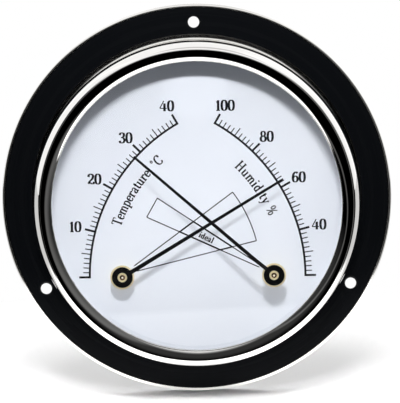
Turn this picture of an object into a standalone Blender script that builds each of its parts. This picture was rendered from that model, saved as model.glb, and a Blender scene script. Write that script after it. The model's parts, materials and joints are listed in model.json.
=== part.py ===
# Round wall thermo-hygrometer with two crossing pointers, modelled in metres.
# Inside the frame empty, x points right, y up and z from the wall to the viewer.
# The frame stands the dial upright, so in the world the dial faces -Y and +Z is up.

import math

import bmesh
import bpy
import numpy as np

# Clearances
SEAT_GAP = 0.0001             # between faces that rest on each other
STACK_CLEARANCE = 0.0003      # round the discs and rings inside the case
RUNNING_GAP = 0.00008         # round a shaft that turns
PRESS_GAP = 0.00003           # round a piece that is pressed on
THREAD_GAP = 0.00008          # round a threaded shank
CUT_MARGIN = 0.0005           # how far a cutter runs past the faces that it cuts

# Case, flange and bezel
FLANGE_RADIUS = 0.0550
FLANGE_THICKNESS = 0.0024
RIM_WIDTH = 0.0008            # bright rolled edge round the black ring
RIM_ROUND = 0.0005
RING_WIDTH = 0.0071           # black face between the rim and the drum
RING_THICKNESS = 0.0010
RING_CLEARANCE = 0.0002
FOOT_FILLET = 0.0004          # small polished step where the drum meets the ring
SPIGOT_WALL = 0.00095
SKIRT_CLEARANCE = 0.0002
SKIRT_WALL = 0.00075
SKIRT_DEPTH = 0.0032
SPIGOT_RELIEF = 0.0004        # above the spigot, so that the bezel closes on the gasket
SPLIT_GAP = 0.0001            # fine line between bezel and drum
LIP_REACH = 0.0041            # from the case's bore to the edge of the opening
CROWN_WIDTH = 0.0027          # from that edge to the crest
LIP_EDGE = 0.0004             # straight edge of the bezel round the opening
CROWN_RISE = 0.0018           # height of the crest over that edge
SHOULDER_DROP = 0.0035        # from the crest to the straight side

# Holes for the wall screws
SCREW_HOLE_RADIUS = 0.0016
SCREW_EDGE_DISTANCE = 0.0048  # from the flange's edge to a hole's centre
SCREW_HOLE_COUNT = 3
COUNTERSINK_RADIUS = 0.0021
COUNTERSINK_DEPTH = 0.0004

# Stack between the rear cover and the bezel, from the wall forwards
COVER_THICKNESS = 0.0009
REAR_LIP_THICKNESS = 0.0010
REAR_LIP_REACH = 0.0052       # from the case's bore inwards
SEAT_RING_HEIGHT = 0.0080
SEAT_RING_WALL = 0.0013
DIAL_THICKNESS = 0.0008
SPACER_HEIGHT = 0.0064
SPACER_WALL = 0.0017
GLASS_THICKNESS = 0.0020
GASKET_THICKNESS = 0.0004
GASKET_WIDTH = 0.0030

# Rear cover screws and vents
COVER_SCREW_INSET = 0.0029    # from the case's bore to a screw's axis
COVER_SCREW_COUNT = 3
COVER_SCREW_RADIUS = 0.00095
COVER_SCREW_HEAD = 0.00185
COVER_SCREW_LENGTH = 0.0034
COVER_SCREW_SINK = 0.00008    # the head lies this far below the cover's face
VENT_RADIUS = 0.0012
VENT_CIRCLE = 0.0062
VENT_COUNT = 6

# Places of the two movements on the dial
HUB_HALF_SPACING = 0.02115
HUB_INSET = 0.0147            # from the dial's edge to an arbor
SCALE_START = -0.7            # degrees above the line between the arbors, at a scale's low end
SCALE_SWEEP = 59.0            # degrees from the low end to the high end of a scale
HUMIDITY_LOW = 20.0
HUMIDITY_HIGH = 100.0
HUMIDITY_SHOWN = 62.4
TEMPERATURE_LOW = 0.0
TEMPERATURE_HIGH = 40.0
TEMPERATURE_SHOWN = 28.5

# Pointers and their brass bosses
HUMIDITY_BOSS_HEIGHT = 0.0019  # dial face to boss
CROSSING_CLEARANCE = 0.0006    # one pointer passes under the other boss by this
BOSS_RADIUS = 0.00335
BOSS_FLANGE = 0.0004
BOSS_TUBE_RADIUS = 0.0014
BOSS_TUBE_PROUD = 0.0003
ARBOR_PROUD = 0.0002
POINTER_SHEET = 0.0003
POINTER_DISC_RADIUS = 0.0029
BLADE_ROOT_INSET = 0.0009      # the blade starts this far inside the disc's edge
HUMIDITY_LENGTH = 0.0525
HUMIDITY_ROOT_WIDTH = 0.00118
HUMIDITY_TIP_WIDTH = 0.00068
TEMPERATURE_LENGTH = 0.0512
TEMPERATURE_ROOT_WIDTH = 0.00108
TEMPERATURE_TIP_WIDTH = 0.00068
CRANK_RUN = 0.0032             # length of the steep tab beside the boss
CRANK_RISE = 0.0015
TIP_FALL = 0.0020              # from the top of the crank to the tip

# Arbor, bush and nut
ARBOR_RADIUS = 0.00075
PIVOT_RADIUS = 0.00045
PIVOT_TAIL = 0.0002            # pivot showing behind the bearing
BUSH_FLANGE_RADIUS = 0.0026
BUSH_FLANGE = 0.00055
BUSH_NECK_RADIUS = 0.0016
BUSH_NECK = 0.0011
BUSH_SHANK_RADIUS = 0.0020
BUSH_TAIL = 0.0002             # thread showing behind the nut
NUT_RADIUS = 0.0034
NUT_THICKNESS = 0.0014

# Bracket, rear bearing, coil and stud of a movement
STRAP_THICKNESS = 0.0008
STRAP_WIDTH = 0.0070
STRAP_TAIL = 0.0045            # strap past the arbor, away from the leg
BRACKET_DEPTH = 0.0082
LEG_CLEARANCE = 0.0010         # between the stud and the leg
BEND_RADIUS = 0.0012
BEARING_RADIUS = 0.0012
BEARING_FLANGE_RADIUS = 0.0018
BEARING_FLANGE = 0.0004
COIL_HUB_RADIUS = 0.0017
COIL_HUB_LENGTH = 0.0036
COIL_RADIUS = 0.0093
COIL_WIDTH = 0.0030
COIL_STRIP = 0.0003
COIL_TURNS = 5.5
STUD_RADIUS = 0.0008
STUD_FOOT_RADIUS = 0.00045

# Facets
RING_STEPS = 64
BOSS_STEPS = 20
SMALL_STEPS = 12
HOLE_STEPS = 16
COIL_POINTS = 18               # points in one turn
CUTTER_TURN = math.radians(4)  # keeps a hole's corners off the edges of the disc round it
ARC_POINTS = 8                 # points on a quarter of the bezel's crown

# Heights from the wall, worked out from the stack
tray_floor = FLANGE_THICKNESS - RING_THICKNESS - SEAT_GAP
lip_back = COVER_THICKNESS + SEAT_GAP
lip_front = lip_back + REAR_LIP_THICKNESS
seat_back = lip_front + SEAT_GAP
dial_back = seat_back + SEAT_RING_HEIGHT + SEAT_GAP
dial_front = dial_back + DIAL_THICKNESS
spacer_back = dial_front + SEAT_GAP
glass_back = spacer_back + SPACER_HEIGHT + SEAT_GAP
gasket_back = glass_back + GLASS_THICKNESS + SEAT_GAP
bezel_ceiling = gasket_back + GASKET_THICKNESS + SEAT_GAP
edge_front = bezel_ceiling + LIP_EDGE
crest = edge_front + CROWN_RISE
skirt_back = bezel_ceiling - SKIRT_DEPTH
spigot_front = bezel_ceiling - SPIGOT_RELIEF

# Radii, worked out from the flange inwards
tray_radius = FLANGE_RADIUS - RIM_WIDTH
ring_outer = tray_radius - RING_CLEARANCE
ring_inner = ring_outer - RING_WIDTH
foot_radius = ring_inner - RING_CLEARANCE
drum_radius = foot_radius - FOOT_FILLET
skirt_bore = drum_radius - SKIRT_WALL
spigot_radius = skirt_bore - SKIRT_CLEARANCE
case_bore = spigot_radius - SPIGOT_WALL
stack_radius = case_bore - STACK_CLEARANCE
opening_radius = case_bore - LIP_REACH
crest_radius = opening_radius + CROWN_WIDTH
rear_lip_bore = case_bore - REAR_LIP_REACH
screw_hole_circle = FLANGE_RADIUS - SCREW_EDGE_DISTANCE
cover_screw_circle = case_bore - COVER_SCREW_INSET

# The arbors stand at one distance from the dial's edge, below its middle
hub_distance = stack_radius - HUB_INSET
hub_drop = math.sqrt(hub_distance ** 2 - HUB_HALF_SPACING ** 2)

# Heights in a movement, worked out from the dial back to the rear strap
bracket_front = dial_back - SEAT_GAP
strap_back = bracket_front - STRAP_THICKNESS
nut_front = strap_back - SEAT_GAP
nut_back = nut_front - NUT_THICKNESS
bush_back = nut_back - BUSH_TAIL
bracket_back = bracket_front - BRACKET_DEPTH
rear_strap_front = bracket_back + STRAP_THICKNESS
bearing_front = rear_strap_front + SEAT_GAP + BEARING_FLANGE
arbor_shoulder = bearing_front + SEAT_GAP
coil_hub_back = arbor_shoulder + SEAT_GAP
coil_hub_front = coil_hub_back + COIL_HUB_LENGTH
coil_middle = (coil_hub_back + coil_hub_front) / 2
bush_bore = ARBOR_RADIUS + RUNNING_GAP
bush_neck_front = dial_front + SEAT_GAP + BUSH_FLANGE + BUSH_NECK
stud_distance = COIL_RADIUS + COIL_STRIP / 2 + SEAT_GAP + STUD_RADIUS
leg_distance = stud_distance + STUD_RADIUS + LEG_CLEARANCE

# Heights of the two pointers above the dial
boss_stack = BOSS_FLANGE + SEAT_GAP + POINTER_SHEET
humidity_boss = dial_front + HUMIDITY_BOSS_HEIGHT
temperature_boss = humidity_boss + boss_stack + CROSSING_CLEARANCE

# Angles of the pointers at rest, in degrees, anticlockwise from the right
humidity_share = (HUMIDITY_SHOWN - HUMIDITY_LOW) / (HUMIDITY_HIGH - HUMIDITY_LOW)
temperature_share = (TEMPERATURE_SHOWN - TEMPERATURE_LOW) / (TEMPERATURE_HIGH - TEMPERATURE_LOW)
humidity_angle = SCALE_START + SCALE_SWEEP * humidity_share
temperature_angle = 180.0 - SCALE_START - SCALE_SWEEP * temperature_share


# Scene, collections and materials
for old in list(bpy.data.objects):
    bpy.data.objects.remove(old)

parts = bpy.data.collections.new("thermo_hygrometer")
cutters = bpy.data.collections.new("cutters")
bpy.context.scene.collection.children.link(parts)
bpy.context.scene.collection.children.link(cutters)


def finish(name, colour, roughness, metallic):
    material = bpy.data.materials.new(name)
    material.use_nodes = True
    shader = material.node_tree.nodes["Principled BSDF"]
    shader.inputs["Base Color"].default_value = (*colour, 1.0)
    shader.inputs["Roughness"].default_value = roughness
    shader.inputs["Metallic"].default_value = metallic
    return material


POLISHED_STEEL = finish("polished_steel", (0.62, 0.61, 0.59), 0.08, 1.0)
BLACK_ENAMEL = finish("black_enamel", (0.010, 0.011, 0.013), 0.22, 0.0)
CLEAR_GLASS = finish("clear_glass", (0.92, 0.95, 0.95), 0.02, 0.0)
DARK_RUBBER = finish("dark_rubber", (0.02, 0.02, 0.02), 0.7, 0.0)
GREY_PLASTIC = finish("grey_plastic", (0.55, 0.56, 0.57), 0.5, 0.0)
BLACK_PLASTIC = finish("black_plastic", (0.03, 0.03, 0.03), 0.5, 0.0)
WHITE_DIAL = finish("white_dial", (0.75, 0.77, 0.82), 0.45, 0.0)
BRASS = finish("brass", (0.70, 0.48, 0.20), 0.25, 1.0)
POINTER_BLACK = finish("pointer_black", (0.012, 0.012, 0.013), 0.4, 0.0)
GROUND_STEEL = finish("ground_steel", (0.55, 0.55, 0.55), 0.3, 1.0)
ZINC_SHEET = finish("zinc_sheet", (0.50, 0.51, 0.53), 0.4, 1.0)
BIMETAL = finish("bimetal", (0.42, 0.34, 0.26), 0.4, 1.0)
MOISTURE_STRIP = finish("moisture_strip", (0.55, 0.44, 0.28), 0.6, 0.0)


# Modelling helpers
def empty(name, place, parent=None, turn=(0.0, 0.0, 0.0)):
    guide = bpy.data.objects.new(name, None)
    guide.location = place
    guide.rotation_euler = turn
    guide.parent = parent
    parts.objects.link(guide)
    return guide


def arc(centre, half_width, half_height, start, stop, count):
    """Points on a part of an ellipse, from one angle in degrees to another."""
    points = []
    for i in range(count + 1):
        angle = math.radians(start + (stop - start) * i / count)
        points.append((centre[0] + half_width * math.cos(angle),
                       centre[1] + half_height * math.sin(angle)))
    return points


def turned(name, profile, steps, collection=parts):
    """A profile of (radius, height) points turned about z, closed unless it meets the axis."""
    mesh = bpy.data.meshes.new(name)
    count = len(profile)
    edges = [(i, i + 1) for i in range(count - 1)]
    if profile[0][0] > 0.0 or profile[-1][0] > 0.0:
        edges.append((count - 1, 0))
    mesh.from_pydata([(radius, 0.0, height) for radius, height in profile], edges, [])
    turning = bpy.data.objects.new(name, mesh)
    collection.objects.link(turning)
    screw = turning.modifiers.new("turn", "SCREW")
    screw.steps = steps
    screw.render_steps = steps
    screw.use_merge_vertices = True
    screw.merge_threshold = 0.000001
    return turning


def ring_profile(inner, outer, back, front):
    return [(inner, front), (outer, front), (outer, back), (inner, back)]


def disc_profile(radius, back, front):
    return [(0.0, front), (radius, front), (radius, back), (0.0, back)]


def flat(name, outlines, thickness):
    """Flat outlines in x and y filled and given a thickness, the first one outermost."""
    curve = bpy.data.curves.new(name, "CURVE")
    curve.dimensions = "2D"
    curve.fill_mode = "BOTH"
    curve.extrude = thickness / 2
    for outline in outlines:
        spline = curve.splines.new("POLY")
        spline.points.add(len(outline) - 1)
        for point, (x, y) in zip(spline.points, outline):
            point.co = (x, y, 0.0, 1.0)
        spline.use_cyclic_u = True
    drawn = bpy.data.objects.new(name + "_outline", curve)
    parts.objects.link(drawn)
    mesh = bpy.data.meshes.new_from_object(drawn.evaluated_get(bpy.context.evaluated_depsgraph_get()))
    mesh.name = name
    bpy.data.objects.remove(drawn)
    weld(mesh)
    solid = bpy.data.objects.new(name, mesh)
    parts.objects.link(solid)
    return solid


def weld(mesh):
    shape = bmesh.new()
    shape.from_mesh(mesh)
    bmesh.ops.remove_doubles(shape, verts=shape.verts, dist=0.000001)
    shape.to_mesh(mesh)
    shape.free()


def combine(target, other, operation):
    other.hide_render = True
    other.display_type = "WIRE"
    boolean = target.modifiers.new(operation.lower(), "BOOLEAN")
    boolean.operation = operation
    boolean.object = other


def cut(target, name, profile, steps, places, parent):
    """Take a turned shape out of the target at each place."""
    for number, place in enumerate(places, start=1):
        cutter = turned(f"{name}_cutter_{number}", profile, steps, cutters)
        cutter.location = (place[0], place[1], 0.0)
        cutter.rotation_euler = (0.0, 0.0, CUTTER_TURN)
        cutter.parent = parent
        combine(target, cutter, "DIFFERENCE")


def settle(solid, material, parent):
    """Parent a solid, make its modifiers real, and shade its round faces smooth."""
    solid.parent = parent
    bpy.context.view_layer.update()
    mesh = bpy.data.meshes.new_from_object(solid.evaluated_get(bpy.context.evaluated_depsgraph_get()))
    weld(mesh)
    mesh.name = solid.name
    solid.modifiers.clear()
    solid.data = mesh
    mesh.materials.clear()
    mesh.materials.append(material)
    mesh.shade_smooth()
    mesh.set_sharp_from_angle(angle=math.radians(35.0))
    return solid


def circle(radius, count):
    return [(radius * math.cos(2 * math.pi * i / count), radius * math.sin(2 * math.pi * i / count))
            for i in range(count)]


def round_pattern(radius, count, first):
    """Places on a circle, with the first at an angle in degrees."""
    angles = [math.radians(first + 360.0 * i / count) for i in range(count)]
    return [(radius * math.cos(angle), radius * math.sin(angle)) for angle in angles]


frame = empty("instrument_frame", (0.0, 0.0, 0.0), turn=(math.pi / 2, 0.0, 0.0))
humidity_axis = empty("humidity_axis", (-HUB_HALF_SPACING, -hub_drop, 0.0), frame)
temperature_axis = empty("temperature_axis", (HUB_HALF_SPACING, -hub_drop, 0.0), frame)
hub_places = [(-HUB_HALF_SPACING, -hub_drop), (HUB_HALF_SPACING, -hub_drop)]
wall_screw_places = round_pattern(screw_hole_circle, SCREW_HOLE_COUNT, 90.0)
cover_screw_places = round_pattern(cover_screw_circle, COVER_SCREW_COUNT, 270.0)


# Case: a spun drum with a flange, a tray for the black ring and a lip behind the seat ring
def build_case():
    fillet = arc((foot_radius, FLANGE_THICKNESS + FOOT_FILLET), FOOT_FILLET, FOOT_FILLET, 180.0, 270.0, 3)
    rim_round = arc((FLANGE_RADIUS - RIM_ROUND, FLANGE_THICKNESS - RIM_ROUND),
                    RIM_ROUND, RIM_ROUND, 90.0, 0.0, 4)
    profile = [(spigot_radius, spigot_front), (spigot_radius, skirt_back - SPLIT_GAP),
               (drum_radius, skirt_back - SPLIT_GAP)]
    profile += fillet
    profile += [(foot_radius, tray_floor), (tray_radius, tray_floor), (tray_radius, FLANGE_THICKNESS)]
    profile += rim_round
    profile += [(FLANGE_RADIUS, 0.0), (case_bore, 0.0), (case_bore, lip_back), (rear_lip_bore, lip_back),
                (rear_lip_bore, lip_front), (case_bore, lip_front), (case_bore, spigot_front)]
    case = turned("case_shell", profile, RING_STEPS)
    hole = disc_profile(SCREW_HOLE_RADIUS, -CUT_MARGIN, tray_floor + CUT_MARGIN)
    cut(case, "case_screw_hole", hole, HOLE_STEPS, wall_screw_places, frame)
    thread = disc_profile(COVER_SCREW_RADIUS + THREAD_GAP, lip_back - CUT_MARGIN, lip_front + CUT_MARGIN)
    cut(case, "lip_thread", thread, SMALL_STEPS, cover_screw_places, frame)
    settle(case, POLISHED_STEEL, frame)


def build_flange_ring():
    back = tray_floor + SEAT_GAP
    profile = ring_profile(ring_inner, ring_outer, back, FLANGE_THICKNESS)
    ring = turned("flange_ring", profile, RING_STEPS)
    hole = [(0.0, FLANGE_THICKNESS + CUT_MARGIN), (COUNTERSINK_RADIUS, FLANGE_THICKNESS + CUT_MARGIN),
            (COUNTERSINK_RADIUS, FLANGE_THICKNESS), (SCREW_HOLE_RADIUS, FLANGE_THICKNESS - COUNTERSINK_DEPTH),
            (SCREW_HOLE_RADIUS, back - CUT_MARGIN), (0.0, back - CUT_MARGIN)]
    cut(ring, "ring_screw_hole", hole, HOLE_STEPS, wall_screw_places, frame)
    settle(ring, BLACK_ENAMEL, frame)


# Bezel: a half-round front ring whose skirt sits on the drum's spigot
def build_bezel():
    inner_crown = arc((crest_radius, edge_front), crest_radius - opening_radius, CROWN_RISE,
                      180.0, 90.0, ARC_POINTS)
    shoulder = arc((crest_radius, crest - SHOULDER_DROP), drum_radius - crest_radius, SHOULDER_DROP,
                   90.0, 0.0, ARC_POINTS)
    profile = inner_crown + shoulder[1:]
    profile += [(drum_radius, skirt_back), (skirt_bore, skirt_back), (skirt_bore, bezel_ceiling),
                (opening_radius, bezel_ceiling)]
    settle(turned("bezel_ring", profile, RING_STEPS), POLISHED_STEEL, frame)


# Stack inside the case: gasket, glass, spacer, dial and seat ring
def build_stack():
    gasket = ring_profile(stack_radius - GASKET_WIDTH, stack_radius, gasket_back,
                          gasket_back + GASKET_THICKNESS)
    settle(turned("glass_gasket", gasket, RING_STEPS), DARK_RUBBER, frame)
    glass = disc_profile(stack_radius, glass_back, glass_back + GLASS_THICKNESS)
    settle(turned("front_glass", glass, RING_STEPS), CLEAR_GLASS, frame)
    spacer = ring_profile(stack_radius - SPACER_WALL, stack_radius, spacer_back, spacer_back + SPACER_HEIGHT)
    settle(turned("spacer_ring", spacer, RING_STEPS), GREY_PLASTIC, frame)
    dial = turned("dial_plate", disc_profile(stack_radius, dial_back, dial_front), RING_STEPS)
    bush_hole = disc_profile(BUSH_SHANK_RADIUS + SEAT_GAP, dial_back - CUT_MARGIN, dial_front + CUT_MARGIN)
    cut(dial, "dial_hole", bush_hole, BOSS_STEPS, hub_places, frame)
    settle(dial, WHITE_DIAL, frame)
    seat = ring_profile(stack_radius - SEAT_RING_WALL, stack_radius, seat_back, seat_back + SEAT_RING_HEIGHT)
    settle(turned("dial_seat_ring", seat, RING_STEPS), BLACK_PLASTIC, frame)


# Rear cover: a flat disc with vents behind both coils, held by countersunk screws
def build_cover():
    cover = turned("rear_cover", disc_profile(stack_radius, 0.0, COVER_THICKNESS), RING_STEPS)
    wide = COVER_SCREW_HEAD + SEAT_GAP
    narrow = COVER_SCREW_RADIUS + SEAT_GAP
    seat = [(0.0, COVER_THICKNESS + CUT_MARGIN), (narrow, COVER_THICKNESS + CUT_MARGIN),
            (narrow, COVER_THICKNESS), (wide, 0.0), (wide, -CUT_MARGIN), (0.0, -CUT_MARGIN)]
    cut(cover, "cover_screw_seat", seat, SMALL_STEPS, cover_screw_places, frame)
    vents = [(hub[0] + vent[0], hub[1] + vent[1])
             for hub in hub_places for vent in round_pattern(VENT_CIRCLE, VENT_COUNT, 0.0)]
    vent_hole = disc_profile(VENT_RADIUS, -CUT_MARGIN, COVER_THICKNESS + CUT_MARGIN)
    cut(cover, "vent", vent_hole, SMALL_STEPS, vents, frame)
    settle(cover, BLACK_ENAMEL, frame)
    screw = [(0.0, COVER_SCREW_LENGTH), (COVER_SCREW_RADIUS, COVER_SCREW_LENGTH),
             (COVER_SCREW_RADIUS, COVER_THICKNESS), (COVER_SCREW_HEAD, COVER_SCREW_SINK),
             (0.0, COVER_SCREW_SINK)]
    for number, place in enumerate(cover_screw_places, start=1):
        fastener = turned(f"cover_screw_{number}", screw, SMALL_STEPS)
        fastener.location = (place[0], place[1], 0.0)
        settle(fastener, GROUND_STEEL, frame)


# Fixed pieces of one movement: bush and nut in the dial, bracket, rear bearing and stud
def build_mount(kind, axis):
    bush = [(BUSH_NECK_RADIUS, bush_neck_front), (BUSH_NECK_RADIUS, bush_neck_front - BUSH_NECK),
            (BUSH_FLANGE_RADIUS, bush_neck_front - BUSH_NECK), (BUSH_FLANGE_RADIUS, dial_front + SEAT_GAP),
            (BUSH_SHANK_RADIUS, dial_front + SEAT_GAP), (BUSH_SHANK_RADIUS, bush_back),
            (bush_bore, bush_back), (bush_bore, bush_neck_front)]
    settle(turned(f"{kind}_bush", bush, BOSS_STEPS), BRASS, axis)
    nut = flat(f"{kind}_bush_nut", [circle(NUT_RADIUS, 6), circle(BUSH_SHANK_RADIUS + THREAD_GAP, BOSS_STEPS)],
               NUT_THICKNESS)
    nut.location = (0.0, 0.0, (nut_front + nut_back) / 2)
    settle(nut, BRASS, axis)
    build_bracket(kind, axis)
    bearing = [(BEARING_FLANGE_RADIUS, bearing_front), (BEARING_FLANGE_RADIUS, bearing_front - BEARING_FLANGE),
               (BEARING_RADIUS, bearing_front - BEARING_FLANGE), (BEARING_RADIUS, bracket_back),
               (PIVOT_RADIUS + RUNNING_GAP, bracket_back), (PIVOT_RADIUS + RUNNING_GAP, bearing_front)]
    settle(turned(f"{kind}_rear_bearing", bearing, SMALL_STEPS), BRASS, axis)
    stud = [(0.0, coil_hub_front), (STUD_RADIUS, coil_hub_front), (STUD_RADIUS, rear_strap_front + SEAT_GAP),
            (STUD_FOOT_RADIUS, rear_strap_front + SEAT_GAP), (STUD_FOOT_RADIUS, bracket_back),
            (0.0, bracket_back)]
    post = turned(f"{kind}_coil_stud", stud, SMALL_STEPS)
    post.location = (0.0, stud_distance, 0.0)
    settle(post, BRASS, axis)


# A strip bent to a C: its outline lies in y and z, and the strip's width runs along x
def build_bracket(kind, axis):
    outer = leg_distance + STRAP_THICKNESS
    inner_bend = BEND_RADIUS - STRAP_THICKNESS
    outline = [(-STRAP_TAIL, bracket_front)]
    outline += arc((outer - BEND_RADIUS, bracket_front - BEND_RADIUS), BEND_RADIUS, BEND_RADIUS, 90.0, 0.0, 4)
    outline += arc((outer - BEND_RADIUS, bracket_back + BEND_RADIUS), BEND_RADIUS, BEND_RADIUS, 0.0, -90.0, 4)
    outline += [(-STRAP_TAIL, bracket_back), (-STRAP_TAIL, rear_strap_front)]
    outline += arc((leg_distance - inner_bend, rear_strap_front + inner_bend), inner_bend, inner_bend,
                   -90.0, 0.0, 2)
    outline += arc((leg_distance - inner_bend, strap_back - inner_bend), inner_bend, inner_bend, 0.0, 90.0, 2)
    outline += [(-STRAP_TAIL, strap_back)]
    bracket = flat(f"{kind}_bracket", [outline], STRAP_WIDTH)
    bracket.rotation_euler = (math.pi / 2, 0.0, math.pi / 2)
    bracket.parent = axis
    shank_hole = disc_profile(BUSH_SHANK_RADIUS + SEAT_GAP, strap_back - CUT_MARGIN, bracket_front + CUT_MARGIN)
    cut(bracket, f"{kind}_shank_hole", shank_hole, BOSS_STEPS, [(0.0, 0.0)], axis)
    bearing_hole = disc_profile(BEARING_RADIUS + PRESS_GAP, bracket_back - CUT_MARGIN,
                                rear_strap_front + CUT_MARGIN)
    cut(bracket, f"{kind}_bearing_hole", bearing_hole, SMALL_STEPS, [(0.0, 0.0)], axis)
    stud_hole = disc_profile(STUD_FOOT_RADIUS + PRESS_GAP, bracket_back - CUT_MARGIN,
                             rear_strap_front + CUT_MARGIN)
    cut(bracket, f"{kind}_stud_hole", stud_hole, SMALL_STEPS, [(0.0, stud_distance)], axis)
    settle(bracket, ZINC_SHEET, axis)


# The coil is one strip wound as an even spiral from its hub to the stud
def build_coil(kind, axis, material):
    first_radius = COIL_HUB_RADIUS + SEAT_GAP + COIL_STRIP / 2
    count = round(COIL_TURNS * COIL_POINTS)
    share = np.linspace(0.0, 1.0, count + 1)
    angle = math.pi / 2 - 2 * math.pi * COIL_TURNS * (1.0 - share)
    radius = first_radius + (COIL_RADIUS - first_radius) * share
    spokes = np.column_stack([np.cos(angle), np.sin(angle)])
    outside = spokes * (radius + COIL_STRIP / 2)[:, None]
    inside = spokes * (radius - COIL_STRIP / 2)[:, None]
    apart = np.abs(np.subtract.outer(np.arange(count + 1), np.arange(count + 1))) > COIL_POINTS // 2
    distances = np.linalg.norm(outside[:, None, :] - inside[None, :, :], axis=2)
    print(f"{kind} coil: least gap to itself {distances[apart].min() * 1000:.2f} mm")
    outline = [tuple(point) for point in outside] + [tuple(point) for point in inside[::-1]]
    coil = flat(f"{kind}_coil", [outline], COIL_WIDTH)
    coil.location = (0.0, 0.0, coil_middle)
    settle(coil, material, axis)


# A pointer is a disc with a blade: the blade's side outline is given its width, then tapered
def build_pointer(kind, axis, turn, back, side, root_width, tip_width):
    ring = turned(f"{kind}_pointer",
                  ring_profile(BOSS_TUBE_RADIUS + PRESS_GAP, POINTER_DISC_RADIUS, 0.0, POINTER_SHEET), BOSS_STEPS)
    outline = side + [(along, height + POINTER_SHEET) for along, height in reversed(side)]
    blade = flat(f"{kind}_blade", [outline], root_width)
    start = side[0][0]
    length = side[-1][0] - start
    for vertex in blade.data.vertices:
        share = (vertex.co.x - start) / length
        vertex.co.z *= 1.0 + (tip_width / root_width - 1.0) * share
    blade.rotation_euler = (math.pi / 2, 0.0, 0.0)
    parts.objects.unlink(blade)
    cutters.objects.link(blade)
    combine(ring, blade, "UNION")
    ring.location = (0.0, 0.0, back)
    ring.rotation_euler = (0.0, 0.0, math.radians(turn))
    blade.parent = ring
    settle(ring, POINTER_BLACK, axis)


# Turning pieces of one movement: arbor, brass boss, pointer and the coil's hub
def build_turning(kind, axis, boss_back, turn, side, root_width, tip_width):
    pointer_back = boss_back + BOSS_FLANGE + SEAT_GAP
    tube_front = pointer_back + POINTER_SHEET + BOSS_TUBE_PROUD
    arbor_front = tube_front + ARBOR_PROUD
    pivot_back = bracket_back - PIVOT_TAIL
    press_bore = ARBOR_RADIUS + PRESS_GAP
    arbor = [(0.0, arbor_front), (PIVOT_RADIUS, arbor_front), (ARBOR_RADIUS, tube_front),
             (ARBOR_RADIUS, arbor_shoulder), (PIVOT_RADIUS, arbor_shoulder), (PIVOT_RADIUS, pivot_back),
             (0.0, pivot_back)]
    settle(turned(f"{kind}_arbor", arbor, SMALL_STEPS), GROUND_STEEL, axis)
    boss = [(BOSS_TUBE_RADIUS, tube_front), (BOSS_TUBE_RADIUS, boss_back + BOSS_FLANGE),
            (BOSS_RADIUS, boss_back + BOSS_FLANGE), (BOSS_RADIUS, boss_back), (press_bore, boss_back),
            (press_bore, tube_front)]
    settle(turned(f"{kind}_boss", boss, BOSS_STEPS), BRASS, axis)
    hub = ring_profile(press_bore, COIL_HUB_RADIUS, coil_hub_back, coil_hub_front)
    settle(turned(f"{kind}_coil_hub", hub, SMALL_STEPS), BRASS, axis)
    build_pointer(kind, axis, turn, pointer_back, side, root_width, tip_width)


build_case()
build_flange_ring()
build_bezel()
build_stack()
build_cover()

blade_start = POINTER_DISC_RADIUS - BLADE_ROOT_INSET
humidity_side = [(blade_start, 0.0), (HUMIDITY_LENGTH, 0.0)]
temperature_side = [(blade_start, 0.0), (POINTER_DISC_RADIUS, 0.0), (POINTER_DISC_RADIUS + CRANK_RUN, CRANK_RISE),
                    (TEMPERATURE_LENGTH, CRANK_RISE - TIP_FALL)]

build_mount("humidity", humidity_axis)
build_coil("humidity", humidity_axis, MOISTURE_STRIP)
build_turning("humidity", humidity_axis, humidity_boss, humidity_angle, humidity_side,
              HUMIDITY_ROOT_WIDTH, HUMIDITY_TIP_WIDTH)
build_mount("temperature", temperature_axis)
build_coil("temperature", temperature_axis, BIMETAL)
build_turning("temperature", temperature_axis, temperature_boss, temperature_angle, temperature_side,
              TEMPERATURE_ROOT_WIDTH, TEMPERATURE_TIP_WIDTH)

print(f"crest {crest * 1000:.2f} mm, drum radius {drum_radius * 1000:.2f} mm, dial {dial_front * 1000:.2f} mm")
print(f"arbors {hub_drop * 1000:.4f} mm below the dial's middle")
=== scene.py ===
import json
import math

import bmesh
import bpy
import numpy as np
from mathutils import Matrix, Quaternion, Vector


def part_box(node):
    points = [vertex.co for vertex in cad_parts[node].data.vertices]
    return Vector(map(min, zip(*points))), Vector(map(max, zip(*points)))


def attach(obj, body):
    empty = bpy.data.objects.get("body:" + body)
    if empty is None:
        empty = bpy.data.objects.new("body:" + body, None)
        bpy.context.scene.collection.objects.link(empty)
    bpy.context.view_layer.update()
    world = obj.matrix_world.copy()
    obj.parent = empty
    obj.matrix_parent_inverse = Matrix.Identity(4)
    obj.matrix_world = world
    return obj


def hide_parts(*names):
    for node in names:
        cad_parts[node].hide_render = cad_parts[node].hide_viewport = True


# Wall thermo-hygrometer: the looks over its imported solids.
# Lengths are in millimetres as (right, up, out), with out counted from the wall to the viewer.
# In the world that is x = right, y = -out and z = up, in metres.

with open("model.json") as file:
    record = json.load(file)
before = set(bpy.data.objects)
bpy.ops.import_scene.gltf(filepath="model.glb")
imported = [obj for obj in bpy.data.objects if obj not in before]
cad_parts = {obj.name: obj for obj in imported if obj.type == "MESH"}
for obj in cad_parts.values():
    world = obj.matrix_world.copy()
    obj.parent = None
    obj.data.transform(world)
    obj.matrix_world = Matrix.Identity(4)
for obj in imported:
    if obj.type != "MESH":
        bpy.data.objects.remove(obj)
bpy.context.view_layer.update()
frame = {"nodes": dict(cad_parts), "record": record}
nodes = frame["nodes"]
milli = 0.001
joints = {joint["child"]: joint for joint in frame["record"]["behaviour"]["joints"]}
hubs = {kind: np.array(joints[kind + "_hand"]["pos_m"])[[0, 2]] / milli
        for kind in ("humidity", "temperature")}
meshFacts = {"creaseDegrees": 32.0, "mergeMetres": 2e-7, "roundSteps": 6}
print("frame loaded:", len(nodes), "nodes")


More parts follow.
